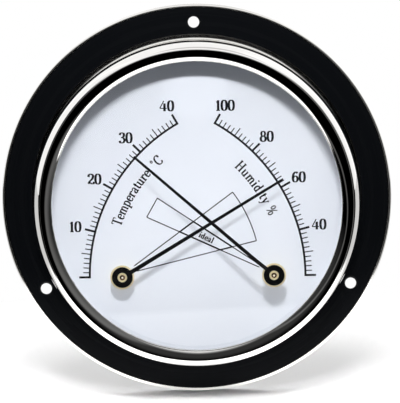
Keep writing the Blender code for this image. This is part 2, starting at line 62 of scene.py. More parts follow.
# quads between the neighbours of a grid of rows and columns, wrapped where asked
def gridFaces(rows, columns, wrapRows, wrapColumns):
    i, j = np.meshgrid(np.arange(rows if wrapRows else rows - 1),
                       np.arange(columns if wrapColumns else columns - 1), indexing="ij")
    down, along = (i + 1) % rows, (j + 1) % columns
    corners = [i * columns + j, down * columns + j, down * columns + along, i * columns + along]
    return np.stack(corners, -1).reshape(-1, 4)


# faces of a section of some points carried along some rows, with both ends closed
def tubeFaces(rows, count):
    last = rows * count - 1
    ends = [list(range(count)), list(range(last, last - count, -1))]
    return gridFaces(rows, count, False, True).tolist() + ends


# shades a mesh smoothly, apart from its creases
def smoothShade(mesh):
    mesh.shade_smooth()
    mesh.set_sharp_from_angle(angle=math.radians(meshFacts["creaseDegrees"]))


# a mesh object from points in millimetres; doubles are merged and faces turned outwards
def addPiece(name, points, faces):
    mesh = bpy.data.meshes.new(name)
    world = np.column_stack([points[:, 0], -points[:, 2], points[:, 1]]) * milli
    mesh.from_pydata(world.tolist(), [], [list(face) for face in faces])
    shape = bmesh.new()
    shape.from_mesh(mesh)
    bmesh.ops.remove_doubles(shape, verts=shape.verts, dist=meshFacts["mergeMetres"])
    bmesh.ops.recalc_face_normals(shape, faces=shape.faces)
    shape.to_mesh(mesh)
    shape.free()
    smoothShade(mesh)
    piece = bpy.data.objects.new(name, mesh)
    bpy.context.scene.collection.objects.link(piece)
    return piece


# each corner (radius, out, rounding) becomes an arc that touches both of its sides
def roundedProfile(corners, steps=meshFacts["roundSteps"]):
    corner = np.array(corners, float)
    place, rounding = corner[:, :2], corner[:, 2]
    before, after = np.roll(place, 1, 0) - place, np.roll(place, -1, 0) - place
    before /= np.linalg.norm(before, axis=1)[:, None]
    after /= np.linalg.norm(after, axis=1)[:, None]
    half = np.arccos(np.clip((before * after).sum(1), -1, 1)) / 2
    bisector = before + after
    bisector /= np.linalg.norm(bisector, axis=1)[:, None]
    middle = place + bisector * (rounding / np.sin(half))[:, None]
    reach = (rounding / np.tan(half))[:, None]
    start, stop = place + before * reach - middle, place + after * reach - middle
    turn = (math.pi - 2 * half)[:, None, None]
    share = np.linspace(0, 1, steps)[None, :, None]
    arcs = np.sin((1 - share) * turn) * start[:, None] + np.sin(share * turn) * stop[:, None]
    return (middle[:, None] + arcs / np.sin(turn)).reshape(-1, 2)


# corners of a ring's section, or of a disc's where the inner radius is nothing
def ringCorners(inner, outer, back, front, backRound, frontRound):
    return [(inner, back, backRound if inner else 0), (outer, back, backRound),
            (outer, front, frontRound), (inner, front, frontRound if inner else 0)]


# points of a quarter or more of an ellipse in (radius, out)
def ellipseArc(centre, halfWidth, halfHeight, start, stop, count):
    angle = np.radians(np.linspace(start, stop, count))
    return np.column_stack([centre[0] + halfWidth * np.cos(angle), centre[1] + halfHeight * np.sin(angle)])


# a profile carried round an axis: right = radius sin a, up = radius cos a, out as it is
def addTurned(name, profile, steps, centre=(0.0, 0.0)):
    profile = np.asarray(profile, float)
    angle = np.linspace(0, 2 * math.pi, steps, endpoint=False)[:, None]
    radius, out = profile[None, :, 0], profile[None, :, 1]
    right, up = centre[0] + radius * np.sin(angle), centre[1] + radius * np.cos(angle)
    points = np.stack([right, up, out + 0 * angle], -1)
    return addPiece(name, points.reshape(-1, 3), gridFaces(steps, len(profile), True, profile[0, 0] > 0))


# takes turned tools out of a piece, or joins them to it, and keeps the result as its mesh
def carve(piece, tools, operation="DIFFERENCE"):
    for tool in tools:
        change = piece.modifiers.new("carve", "BOOLEAN")
        change.operation, change.object, change.solver = operation, tool, "EXACT"
    result = bpy.data.meshes.new_from_object(piece.evaluated_get(bpy.context.evaluated_depsgraph_get()))
    piece.modifiers.clear()
    piece.data = result
    smoothShade(result)
    for tool in tools:
        bpy.data.objects.remove(tool)


# middles of a piece's faces as (right, up, out)
def faceMiddles(piece):
    middles = np.empty(3 * len(piece.data.polygons))
    piece.data.polygons.foreach_get("center", middles)
    return middles.reshape(-1, 3)[:, [0, 2, 1]] * (1, 1, -1) / milli


# rides a piece on its body, gives it its finish and hides the solid that it stands for
def dress(piece, material, body, slotName, standsFor=None):
    piece.data.materials.clear()
    piece.data.materials.append(material)
    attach(piece, body)
    if standsFor:
        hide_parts(standsFor)
    return piece


# an input that is given a socket is linked to it, and any other value becomes the input's own
def feed(tree, node, values):
    for key, value in values.items():
        if isinstance(value, bpy.types.NodeSocket):
            tree.links.new(value, node.inputs[key])
        else:
            node.inputs[key].default_value = value


def addNode(tree, kind, values=None, **settings):
    node = tree.nodes.new("ShaderNode" + kind)
    for key, value in settings.items():
        setattr(node, key, value)
    feed(tree, node, values or {})
    return node


def newMaterial(name):
    material = bpy.data.materials.new(name)
    material.use_nodes = True
    return material, material.node_tree


def newGroup(name, inputs, outputs):
    group = bpy.data.node_groups.new(name, "ShaderNodeTree")
    for label, kind, value in inputs:
        socket = group.interface.new_socket(label, in_out="INPUT", socket_type=kind)
        socket.default_value = value
    for label in outputs:
        group.interface.new_socket(label, in_out="OUTPUT", socket_type="NodeSocketFloat")
    return group, group.nodes.new("NodeGroupInput"), group.nodes.new("NodeGroupOutput")


# lathe marks: a one-dimensional noise over the distance from an axis through Centre along y
def makeTurningMarks():
    tree, given, put = newGroup("turningMarks", [("Vector", "NodeSocketVector", (0, 0, 0)),
                                                 ("Centre", "NodeSocketVector", (0, 0, 0)),
                                                 ("Marks", "NodeSocketFloat", 6000.0)], ["Height", "Tone"])
    away = addNode(tree, "VectorMath", {0: given.outputs["Vector"], 1: given.outputs["Centre"]},
                   operation="SUBTRACT")
    flat = addNode(tree, "VectorMath", {0: away.outputs[0], 1: (1, 0, 1)}, operation="MULTIPLY")
    length = addNode(tree, "VectorMath", {0: flat.outputs[0]}, operation="LENGTH")
    count = addNode(tree, "Math", {0: length.outputs["Value"], 1: given.outputs["Marks"]}, operation="MULTIPLY")
    for label, look in (("Height", {"Scale": 1.0, "Detail": 4.0, "Roughness": 0.65}),
                        ("Tone", {"Scale": 0.11, "Detail": 2.0})):
        noise = addNode(tree, "TexNoise", {"W": count.outputs[0], **look}, noise_dimensions="1D")
        feed(tree, put, {label: noise.outputs[0]})
    return tree


# grain and handling: fine noise for the height, broad soft patches for the tone
def makeHandGrain():
    tree, given, put = newGroup("handGrain", [("Vector", "NodeSocketVector", (0, 0, 0)),
                                              ("Fine", "NodeSocketFloat", 3000.0),
                                              ("Broad", "NodeSocketFloat", 60.0)], ["Height", "Tone"])
    fine = addNode(tree, "TexNoise", {"Detail": 3.0, "Roughness": 0.6})
    broad = addNode(tree, "TexNoise", {"Detail": 4.0, "Roughness": 0.55, "Distortion": 0.4})
    for noise, scale in ((fine, "Fine"), (broad, "Broad")):
        feed(tree, noise, {"Vector": given.outputs["Vector"], "Scale": given.outputs[scale]})
    spread = addNode(tree, "MapRange", {"Value": broad.outputs[0], "From Min": 0.32, "From Max": 0.68})
    feed(tree, put, {"Height": fine.outputs[0], "Tone": spread.outputs[0]})
    return tree


turningMarks, handGrain = makeTurningMarks(), makeHandGrain()
bumpDepth = 0.00005  # metres


# a finish whose colour and roughness run between two values with the soft patches,
# and whose bump is the grain, with lathe marks added where marks gives (centre, count, share);
# a colour mix has its colours at inputs 6 and 7 and its result at output 2
def makeFinish(name, colours, roughness, metallic, grain, bump, marks=None, sockets=None):
    material, tree = newMaterial(name)
    place = addNode(tree, "TexCoord").outputs["Object"]
    patch = addNode(tree, "Group", {"Vector": place, "Fine": grain[0], "Broad": grain[1]}, node_tree=handGrain)
    tone, height = patch.outputs["Tone"], patch.outputs["Height"]
    if marks:
        (right, up), count, share = marks
        centre = (right * milli, 0, up * milli)
        lathe = addNode(tree, "Group", {"Vector": place, "Centre": centre, "Marks": count},
                        node_tree=turningMarks)
        mixes = [addNode(tree, "Mix", {"Factor": share, "A": plain, "B": lathe.outputs[label]})
                 for plain, label in ((tone, "Tone"), (height, "Height"))]
        tone, height = (mix.outputs["Result"] for mix in mixes)
    colour = addNode(tree, "Mix", {0: tone, 6: (*colours[0], 1), 7: (*colours[1], 1)}, data_type="RGBA")
    rough = addNode(tree, "MapRange", {"Value": tone, "To Min": roughness[0], "To Max": roughness[1]})
    relief = addNode(tree, "Bump", {"Height": height, "Strength": bump, "Distance": bumpDepth})
    feed(tree, tree.nodes["Principled BSDF"], {"Metallic": metallic, "Base Color": colour.outputs[2],
                                               "Roughness": rough.outputs[0], "Normal": relief.outputs[0],
                                               **(sockets or {})})
    return material


dull = {"Specular IOR Level": 0.12}

# name, two colours, roughness, metallic, fine and broad grain, bump, then lathe marks and other sockets if any
finishFacts = {
    "polished": ("polishedBezel", ((0.86, 0.85, 0.83), (0.91, 0.90, 0.88)), (0.02, 0.05), 1.0, (9000.0, 35.0),
                 0.010, ((0, 0), 5200.0, 0.5)),
    "rim": ("polishedRim", ((0.84, 0.83, 0.80), (0.90, 0.89, 0.87)), (0.06, 0.12), 1.0, (9000.0, 60.0), 0.02,
            ((0, 0), 3600.0, 0.7)),
    "drum": ("satinDrum", ((0.84, 0.83, 0.80), (0.90, 0.89, 0.86)), (0.16, 0.26), 1.0, (9000.0, 60.0), 0.05,
             ((0, 0), 3600.0, 0.3)),
    "enamel": ("blackEnamel", ((0.0025, 0.003, 0.004), (0.0045, 0.005, 0.006)), (0.22, 0.32), 0.0,
               (6000.0, 45.0), 0.12, ((0, 0), 5000.0, 0.8)),
    "dial": ("dialWhite", ((0.775, 0.805, 0.88), (0.80, 0.83, 0.90)), (0.42, 0.52), 0.0, (2600.0, 28.0), 0.06),
    "ink": ("printingInk", ((0.004, 0.004, 0.006), (0.010, 0.010, 0.013)), (0.45, 0.6), 0.0, (5000.0, 900.0),
            0.05, None, dull),
    "fineInk": ("fineLineInk", ((0.012, 0.012, 0.016), (0.03, 0.03, 0.036)), (0.45, 0.6), 0.0, (5000.0, 900.0),
                0.05, None, dull),
    "pointer": ("pointerBlack", ((0.002, 0.002, 0.0025), (0.004, 0.004, 0.0045)), (0.32, 0.45), 0.0,
                (7000.0, 250.0), 0.12, None, dull),
    "rubber": ("gasketRubber", ((0.012, 0.012, 0.012), (0.026, 0.026, 0.025)), (0.65, 0.85), 0.0,
               (4000.0, 120.0), 0.3),
    "spacer": ("spacerPlastic", ((0.50, 0.51, 0.53), (0.58, 0.59, 0.60)), (0.42, 0.58), 0.0, (3000.0, 90.0),
               0.15),
    "seat": ("seatPlastic", ((0.022, 0.022, 0.023), (0.036, 0.036, 0.037)), (0.45, 0.6), 0.0, (3000.0, 90.0),
             0.2),
    "cover": ("coverBlack", ((0.014, 0.014, 0.015), (0.026, 0.026, 0.027)), (0.38, 0.52), 0.0, (2200.0, 50.0),
              0.35),
    "screw": ("screwSteel", ((0.48, 0.48, 0.48), (0.62, 0.61, 0.60)), (0.22, 0.38), 1.0, (8000.0, 700.0), 0.1),
    "arbor": ("arborSteel", ((0.16, 0.09, 0.045), (0.24, 0.15, 0.08)), (0.18, 0.30), 0.9, (9000.0, 900.0),
              0.08),
    # pale finish for the arbor's flat end: a painted highlight
    "arborEnd": ("arborEnd", ((0.86, 0.80, 0.70), (0.92, 0.88, 0.80)), (0.25, 0.35), 0.2, (9000.0, 900.0),
                 0.05),
    "zinc": ("bracketZinc", ((0.44, 0.45, 0.48), (0.58, 0.58, 0.58)), (0.3, 0.5), 1.0, (1500.0, 300.0), 0.2),
    "bimetal": ("bimetalStrip", ((0.36, 0.29, 0.22), (0.50, 0.41, 0.31)), (0.28, 0.45), 1.0, (5000.0, 400.0),
                0.15),
    "moisture": ("moistureStrip", ((0.46, 0.36, 0.21), (0.62, 0.50, 0.33)), (0.5, 0.7), 0.0, (3500.0, 350.0),
                 0.3),
}
for kind, hub in hubs.items():
    finishFacts[kind + "Brass"] = (kind + "Brass", ((0.84, 0.70, 0.40), (0.94, 0.83, 0.55)), (0.24, 0.38), 0.45,
                                   (8000.0, 600.0), 0.12, (hub, 14000.0, 0.7))
finishes = {key: makeFinish(*facts) for key, facts in finishFacts.items()}

# the black ring's lathe marks stretch its gloss across them, and it shines most at a glancing view
enamel = finishes["enamel"].node_tree
ringTangent = addNode(enamel, "Tangent", direction_type="RADIAL", axis="Y")
glance = addNode(enamel, "LayerWeight", {"Blend": 0.5})
gloss = addNode(enamel, "MapRange", {"Value": glance.outputs["Facing"], "From Min": 0.2, "From Max": 0.75,
                                     "To Min": 0.04, "To Max": 0.5})
feed(enamel, enamel.nodes["Principled BSDF"], {"Anisotropic": 0.8, "Anisotropic Rotation": 0.25,
                                               "Tangent": ringTangent.outputs[0],
                                               "Specular IOR Level": gloss.outputs[0]})


# clear glass that lets lamp light through to the dial
def makeGlass():
    material, tree = newMaterial("clearGlass")
    place, path = addNode(tree, "TexCoord"), addNode(tree, "LightPath")
    haze = addNode(tree, "Group", {"Vector": place.outputs["Object"], "Fine": 500.0, "Broad": 25.0},
                   node_tree=handGrain)
    tint = addNode(tree, "Mix", {0: haze.outputs["Tone"], 6: (0.975, 0.985, 0.985, 1),
                                 7: (0.99, 0.995, 0.995, 1)}, data_type="RGBA")
    shader = tree.nodes["Principled BSDF"]
    feed(tree, shader, {"Metallic": 0.0, "Transmission Weight": 1.0, "IOR": 1.5, "Roughness": 0.0,
                        "Base Color": tint.outputs[2]})
    clear = addNode(tree, "BsdfTransparent", {"Color": (0.98, 0.985, 0.985, 1)})
    mix = addNode(tree, "MixShader", {0: path.outputs["Is Shadow Ray"], 1: shader.outputs[0],
                                      2: clear.outputs[0]})
    feed(tree, tree.nodes["Material Output"], {"Surface": mix.outputs[0]})
    return material


finishes["glass"] = makeGlass()
print("finishes made:", len(finishes))


caseFacts = {"steps": 192, "flange": 55.4, "flangeFront": 2.4, "tray": 54.6, "trayFloor": 1.3, "foot": 46.7,
             "coveOuter": 45.95, "coveHeight": 1.1, "coveArc": (180, 268, 16), "drum": 45.1, "drumFront": 16.97,
             "spigot": 44.85, "spigotFront": 19.8, "bore": 44.4, "lipBack": 1.0, "lipFront": 2.0,
             "lipBore": 39.2, "rimRound": 0.7, "backRound": 0.2, "endRound": 0.15, "lipRound": 0.1,
             "drumRound": 0.05, "tight": 0.03}
screwFacts = {"circle": 50.2, "angles": (90.0, 210.0, 330.0), "hole": 1.6, "sunk": 2.1, "sunkDepth": 0.4,
              "through": 1.75, "drillOut": (-0.1, 2.0), "bevelOut": 0.15, "bevelWidth": 0.25, "steps": 40}
coverScrewFacts = {"circle": 41.5, "angles": (270.0, 30.0, 150.0), "shank": 0.95, "head": 1.85, "sink": 0.08,
                   "length": 3.4, "tipRound": 0.2, "neckRound": 0.02, "headRound": 0.06, "threadGap": 0.08,
                   "drillOut": (0.5, 2.5), "drillSteps": 24, "slotWidth": 0.45, "slotReach": 1.2,
                   "slotDepth": 0.4, "slotTurns": (12.0, 64.0, 141.0), "steps": 40}
overshoot = 0.3  # how far a cutting tool stands past what it cuts


# a place on a circle about the middle, counted from the right upwards
def onCircle(radius, degrees):
    angle = math.radians(degrees)
    return radius * math.cos(angle), radius * math.sin(angle)


def screwPlaces(facts):
    return [onCircle(facts["circle"], degrees) for degrees in facts["angles"]]


# profile of a straight drill
def drill(radius, back, front):
    return [(0, front), (radius, front), (radius, back), (0, back)]


def drillTools(name, profile, places, steps):
    return [addTurned(f"{name}{number}", profile, steps, place) for number, place in enumerate(places)]


# the spun case: spigot, drum, cove down to the foot, tray for the ring, rolled rim and rear lip
def buildCase():
    f, s, c = caseFacts, screwFacts, coverScrewFacts
    cove = ellipseArc((f["coveOuter"], f["flangeFront"] + f["coveHeight"]), f["coveOuter"] - f["drum"],
                      f["coveHeight"], *f["coveArc"])
    tight = f["tight"]
    corners = [(f["spigot"], f["spigotFront"], f["endRound"]), (f["spigot"], f["drumFront"], tight),
               (f["drum"], f["drumFront"], f["drumRound"]), *[(radius, out, 0.0) for radius, out in cove],
               (f["foot"], f["flangeFront"], 0.0), (f["foot"], f["trayFloor"], tight),
               (f["tray"], f["trayFloor"], tight), (f["tray"], f["flangeFront"], tight),
               (f["flange"], f["flangeFront"], f["rimRound"]), (f["flange"], 0.0, f["backRound"]),
               (f["bore"], 0.0, f["lipRound"]), (f["bore"], f["lipBack"], tight),
               (f["lipBore"], f["lipBack"], f["lipRound"]), (f["lipBore"], f["lipFront"], f["lipRound"]),
               (f["bore"], f["lipFront"], tight), (f["bore"], f["spigotFront"], f["endRound"])]
    case = addTurned("caseBody", roundedProfile(corners), f["steps"])
    back, front = s["drillOut"]
    hole = [(0, front), (s["through"], front), (s["through"], s["bevelOut"]),
            (s["through"] + s["bevelWidth"], back), (0, back)]
    thread = drill(c["shank"] + c["threadGap"], *c["drillOut"])
    carve(case, drillTools("wallHole", hole, screwPlaces(s), s["steps"])
          + drillTools("lipHole", thread, screwPlaces(c), c["drillSteps"]))
    dress(case, finishes["rim"], "case", "polished_case", "case_shell")
    case.data.materials.append(finishes["drum"])
    onDrum = np.hypot(*faceMiddles(case)[:, :2].T) < f["coveOuter"]
    case.data.polygons.foreach_set("material_index", onDrum.astype(np.int32))
    return case


ringFacts = {"inner": 46.9, "outer": 54.4, "back": 1.4, "front": 2.4, "backRound": 0.05, "frontRound": 0.12}


# black ring with softly broken edges and three countersunk holes
def buildBlackRing():
    s = screwFacts
    ring = addTurned("blackRing", roundedProfile(ringCorners(**ringFacts)), caseFacts["steps"])
    back, front = ringFacts["back"], ringFacts["front"]
    hole = [(0, front + overshoot), (s["sunk"] + overshoot, front + overshoot), (s["sunk"], front),
            (s["hole"], front - s["sunkDepth"]), (s["hole"], back - overshoot), (0, back - overshoot)]
    carve(ring, drillTools("ringHole", hole, screwPlaces(s), s["steps"]))
    return dress(ring, finishes["enamel"], "case", "black_ring", "flange_ring")


bezelFacts = {"steps": 256, "crest": 43.3, "crestOut": 23.1, "edge": 40.3, "crownRadius": 5.2, "side": 45.8,
              "sideOut": 17.3, "fall": 2.3, "skirtBack": 17.0, "skirtBore": 44.95, "ceiling": 20.2,
              "edgeRound": 0.25, "edgeArc": (180, 110, 6), "footRound": 0.1, "tight": 0.03, "crownSteps": 28,
              "fallSteps": 48}


# bezel: a slow arc rises from the opening to the crest, then the shoulder falls ever more steeply,
# by a power of the distance from the crest
def buildBezel():
    f = bezelFacts
    slope = math.degrees(math.asin((f["crest"] - f["edge"] - f["edgeRound"]) / f["crownRadius"]))
    crown = ellipseArc((f["crest"], f["crestOut"] - f["crownRadius"]), f["crownRadius"], f["crownRadius"],
                       90 + slope, 90, f["crownSteps"])
    edge = ellipseArc(crown[0] - (0, f["edgeRound"]), f["edgeRound"], f["edgeRound"], *f["edgeArc"])
    share = np.linspace(0, 1, f["fallSteps"])
    shoulder = np.column_stack([f["crest"] + (f["side"] - f["crest"]) * share,
                                f["crestOut"] - (f["crestOut"] - f["sideOut"]) * share ** f["fall"]])
    foot = [(f["side"], f["skirtBack"], f["footRound"]), (f["skirtBore"], f["skirtBack"], f["footRound"]),
            (f["skirtBore"], f["ceiling"], f["tight"]), (f["edge"], f["ceiling"], f["footRound"])]
    ends = [(f["edge"], edge[0, 1], 0.0), (f["side"], f["sideOut"], 0.0)]  # only lead into the foot's arcs
    foot = roundedProfile(foot + ends)[:len(foot) * meshFacts["roundSteps"]]
    bezel = addTurned("bezelRing", np.vstack([edge, crown, shoulder[1:], foot]), f["steps"])
    return dress(bezel, finishes["polished"], "case", "polished_case", "bezel_ring")


caseBody, blackRing, bezelRing = buildCase(), buildBlackRing(), buildBezel()
print("case, black ring and bezel built")


# walls are measured inwards from the common radius, and a wall as wide as that is a full disc;
# look names the finish, the slot and the solid that the piece stands for
stackFacts = {
    "glassGasket": {"wall": 3.0, "out": (19.7, 20.1), "rounds": (0.15, 0.15),
                    "look": ("rubber", "gasket", "glass_gasket")},
    "frontGlass": {"wall": 44.1, "out": (17.6, 19.6), "rounds": (0.25, 0.25),
                   "look": ("glass", "glass", "front_glass")},
    "spacerRing": {"wall": 1.7, "out": (11.1, 17.5), "rounds": (0.2, 0.2),
                   "look": ("spacer", "spacer", "spacer_ring")},
    "dialPlate": {"wall": 44.1, "out": (10.2, 11.0), "rounds": (0.08, 0.12),
                  "look": ("dial", "dial", "dial_plate")},
}
stackSize = {"radius": 44.1, "steps": 160, "bushHole": 2.1, "bushDrill": (9.5, 12.0), "bushSteps": 48}


# each piece is a ring or disc turned from a section with rounded corners
def buildStack():
    radius = stackSize["radius"]
    for name, f in stackFacts.items():
        corners = ringCorners(radius - f["wall"], radius, *f["out"], *f["rounds"])
        piece = addTurned(name, roundedProfile(corners), stackSize["steps"])
        if name == "dialPlate":
            bushHole = drill(stackSize["bushHole"], *stackSize["bushDrill"])
            carve(piece, drillTools("bushHole", bushHole, hubs.values(), stackSize["bushSteps"]))
        finish, slotName, node = f["look"]
        dress(piece, finishes[finish], "case", slotName, node)


buildStack()
print("glass and dial built")


scaleFacts = {"centre": (19.8, -21.03), "radius": 50.06, "line": 0.58, "divisions": 40, "sweep": 60.0,
              "tickStart": 50.2, "minor": 51.9, "middle": 52.75, "major": 53.05, "fine": 0.30, "bold": 0.60,
              "arcSteps": 140, "numeralRadius": 55.85, "numeralHeight": 3.0,
              "temperature": ("10", "20", "30", "40"), "humidity": ("40", "60", "80", "100")}
zoneFacts = {"start": 4.2, "radius": 38.85, "temperature": (24.9, 34.0), "humidity": (13.9, 36.65),
             "fine": 0.30, "bold": 0.45, "word": "ideal", "wordSlope": -27.0, "wordHeight": 1.75,
             "wordSpacing": 0.04, "wordDrop": 0.8, "arcSteps": 24}
# each word: side of the middle that its circle's centre lies on, radius, angle that it starts at, spacing
wordFacts = {"height": 2.9, "narrow": 0.93, "boldness": 0.74,
             "words": {"Temperature": (1, 43.6, 160.9, 0.0), "°C": (1, 43.6, 135.6, 0.0),
                       "Humidity %": (-1, 43.35, 45.6, 0.05)}}
inkFacts = {"back": 11.005, "front": 11.03, "thick": 0.22, "thin": 0.09, "taper": 1.3, "size": (0.991, 0.983),
            "turn": -0.45}

# each sign on a height of 100: width, then strokes of (weight in hundredths, closed or not, points)
signs = {
    "0": (66, [(100, 1, [(10, 50), (16, 86), (33, 97), (50, 86), (56, 50), (50, 14), (33, 3), (16, 14)])]),
    "1": (50, [(100, 0, [(27, 0), (27, 98)]), (40, 0, [(8, 80), (20, 86), (29, 96)]),
               (0, 0, [(9, 3), (45, 3)])]),
    "2": (64, [(100, 0, [(10, 70), (13, 88), (30, 97), (48, 89), (52, 72), (42, 50), (20, 27), (8, 5)]),
               (100, 0, [(8, 8), (22, 15), (42, 6), (55, 8), (60, 24)])]),
    "3": (62, [(100, 0, [(11, 76), (15, 91), (30, 97), (46, 89), (47, 69), (36, 56), (22, 53)]),
               (100, 0, [(22, 53), (42, 48), (53, 30), (46, 10), (28, 3), (13, 8), (9, 23)])]),
    "4": (72, [(45, 0, [(42, 98), (5, 29)]), (0, 0, [(4, 28), (68, 28)]), (100, 0, [(48, 0), (48, 74)])]),
    "6": (64, [(100, 0, [(52, 84), (44, 95), (30, 94), (15, 74), (10, 42), (15, 13), (31, 3), (48, 12),
                         (54, 31), (47, 51), (33, 58), (18, 50), (11, 36)])]),
    "8": (64, [(85, 1, [(14, 75), (20, 92), (32, 97), (44, 92), (50, 75), (44, 58), (32, 53), (20, 58)]),
               (100, 1, [(9, 27), (16, 45), (32, 53), (48, 45), (55, 27), (48, 9), (32, 3), (16, 9)])]),
    "T": (74, [(100, 0, [(37, 0), (37, 96)]), (0, 0, [(5, 95), (69, 95)]), (30, 0, [(6, 98), (5, 76)]),
               (30, 0, [(68, 98), (69, 76)]), (0, 0, [(21, 3), (53, 3)])]),
    "H": (84, [(100, 0, [(18, 0), (18, 98)]), (100, 0, [(66, 0), (66, 98)]), (0, 0, [(18, 51), (66, 51)]),
               (0, 0, [(4, 3), (33, 3)]), (0, 0, [(51, 3), (80, 3)]), (0, 0, [(4, 95), (33, 95)]),
               (0, 0, [(51, 95), (80, 95)])]),
    "C": (74, [(100, 0, [(66, 70), (58, 90), (42, 97), (19, 84), (10, 50), (19, 15), (42, 3), (60, 10),
                         (68, 26)]), (30, 0, [(66, 96), (66, 68)])]),
    "a": (54, [(80, 0, [(10, 47), (16, 58), (28, 60), (38, 52), (39, 38), (39, 12), (44, 3), (52, 6)]),
               (100, 0, [(39, 37), (22, 31), (10, 20), (12, 6), (24, 2), (39, 14)])]),
    "d": (62, [(100, 0, [(42, 47), (30, 60), (15, 52), (9, 31), (15, 9), (30, 2), (42, 14)]),
               (90, 0, [(44, 0), (44, 98)]), (0, 0, [(32, 96), (46, 96)]), (0, 0, [(42, 3), (58, 3)])]),
    "e": (54, [(100, 0, [(10, 34), (47, 36), (42, 55), (28, 60), (14, 51), (9, 30), (15, 9), (30, 2),
                         (48, 13)])]),
    "i": (32, [(100, 0, [(16, 0), (16, 60)]), (110, 0, [(16, 80), (16, 94)]), (0, 0, [(2, 3), (31, 3)]),
               (0, 0, [(3, 58), (18, 58)])]),
    "l": (32, [(100, 0, [(16, 0), (16, 98)]), (0, 0, [(2, 3), (31, 3)]), (0, 0, [(3, 96), (18, 96)])]),
    "m": (92, [(95, 0, [(14, 0), (14, 60)]), (0, 0, [(2, 58), (15, 58)]),
               (95, 0, [(14, 42), (24, 57), (36, 59), (45, 48), (46, 30), (46, 0)]),
               (95, 0, [(46, 42), (56, 57), (68, 59), (77, 48), (78, 30), (78, 0)]),
               (0, 0, [(2, 3), (27, 3)]), (0, 0, [(35, 3), (58, 3)]), (0, 0, [(67, 3), (91, 3)])]),
    "p": (62, [(95, 0, [(15, -26), (15, 60)]), (0, 0, [(2, 58), (16, 58)]),
               (100, 0, [(15, 46), (28, 60), (44, 54), (52, 31), (45, 8), (29, 2), (15, 14)]),
               (0, 0, [(2, -24), (30, -24)])]),
    "r": (48, [(100, 0, [(15, 0), (15, 60)]), (0, 0, [(2, 58), (16, 58)]),
               (100, 0, [(15, 38), (22, 53), (34, 60), (43, 54), (43, 47)]), (0, 0, [(2, 3), (31, 3)])]),
    "t": (40, [(100, 0, [(18, 80), (18, 40), (18, 14), (26, 2), (39, 10)]), (0, 0, [(3, 58), (37, 58)])]),
    "u": (66, [(100, 0, [(14, 60), (14, 30), (16, 10), (28, 2), (40, 8), (48, 20)]),
               (95, 0, [(48, 60), (48, 0)]), (0, 0, [(2, 58), (16, 58)]), (0, 0, [(36, 58), (50, 58)]),
               (0, 0, [(46, 3), (62, 3)])]),
    "y": (60, [(100, 0, [(12, 60), (31, 6)]), (40, 0, [(52, 60), (32, 6), (22, -18), (12, -25), (5, -18)]),
               (0, 0, [(2, 58), (24, 58)]), (0, 0, [(40, 58), (60, 58)])]),
    "°": (42, [(45, 1, [(10, 82), (20, 94), (30, 82), (20, 70)])]),
    "%": (86, [(70, 1, [(8, 74), (13, 92), (22, 97), (31, 92), (36, 74), (31, 57), (22, 51), (13, 57)]),
               (70, 1, [(50, 26), (55, 43), (64, 49), (73, 43), (78, 26), (73, 8), (64, 3), (55, 8)]),
               (30, 0, [(68, 98), (20, 2)])]),
    " ": (34, []),
}


# a curve through the points: cubic pieces whose slope at each point follows its two neighbours
def smoothPath(points, closed, perPiece=7):
    given = np.array(points, float)
    if len(given) == 2:
        return given
    around = np.vstack([given[-1], given, given[:2]]) if closed else \
        np.vstack([2 * given[0] - given[1], given, 2 * given[-1] - given[-2]])
    a, b, c, d = (around[k:len(around) - 3 + k, None] for k in range(4))
    t = np.linspace(0, 1, perPiece, endpoint=False)[None, :, None]
    path = 0.5 * (2 * b + (c - a) * t + (2 * a - 5 * b + 4 * c - d) * t ** 2 + (3 * b - a - 3 * c + d) * t ** 3)
    path = path.reshape(-1, 2)
    return path if closed else np.vstack([path, given[-1]])


# unit direction of a path at each of its points
def pathDirection(path, closed):
    step = np.roll(path, -1, 0) - np.roll(path, 1, 0) if closed else np.gradient(path, axis=0)
    return step / np.maximum(np.linalg.norm(step, axis=1), 1e-9)[:, None]


# pen strokes of a text on a straight baseline: upright parts of a stroke are thick, level parts thin
def penStrokes(text, height, spacing=0.0, narrow=1.0, boldness=1.0):
    strokes, reach, thin = [], 0.0, inkFacts["thin"]
    for sign in text:
        width, parts = signs[sign]
        width = width / 100 * narrow
        for weight, closed, points in parts:
            path = smoothPath(np.array(points) / 100 * (narrow, 1), closed)
            upright = np.abs(pathDirection(path, closed)[:, 1])
            thick = max(inkFacts["thick"] * (weight / 100) * boldness, thin)
            half = (thin + (thick - thin) * upright ** inkFacts["taper"]) / 2
            strokes.append((path * height, half * height, closed, (reach + width / 2) * height, reach * height))
        reach += width + spacing
    return strokes, (reach - spacing) * height


# upright text about a middle point
def uprightText(text, middle, height):
    strokes, width = penStrokes(text, height)
    return [(path + (left - width / 2 + middle[0], middle[1] - height / 2), half, closed)
            for path, half, closed, _, left in strokes]


# text that runs clockwise on a circle, tops outwards, each sign turned about its own middle
def roundText(text, centre, radius, startDegrees, spacing):
    w, placed = wordFacts, []
    strokes, _ = penStrokes(text, w["height"], spacing, w["narrow"], w["boldness"])
    for path, half, closed, middle, left in strokes:
        angle = math.radians(startDegrees) - middle / radius
        across = path[:, :1] + left - middle
        outward = np.array([math.cos(angle), math.sin(angle)])
        along = np.array([math.sin(angle), -math.cos(angle)])
        placed.append((np.array(centre) + outward * (radius + path[:, 1:]) + along * across, half, closed))
    return placed


# turns rows of (right, up) by an angle
def turning(degrees):
    angle = math.radians(degrees)
    return np.array([[math.cos(angle), math.sin(angle)], [-math.sin(angle), math.cos(angle)]])


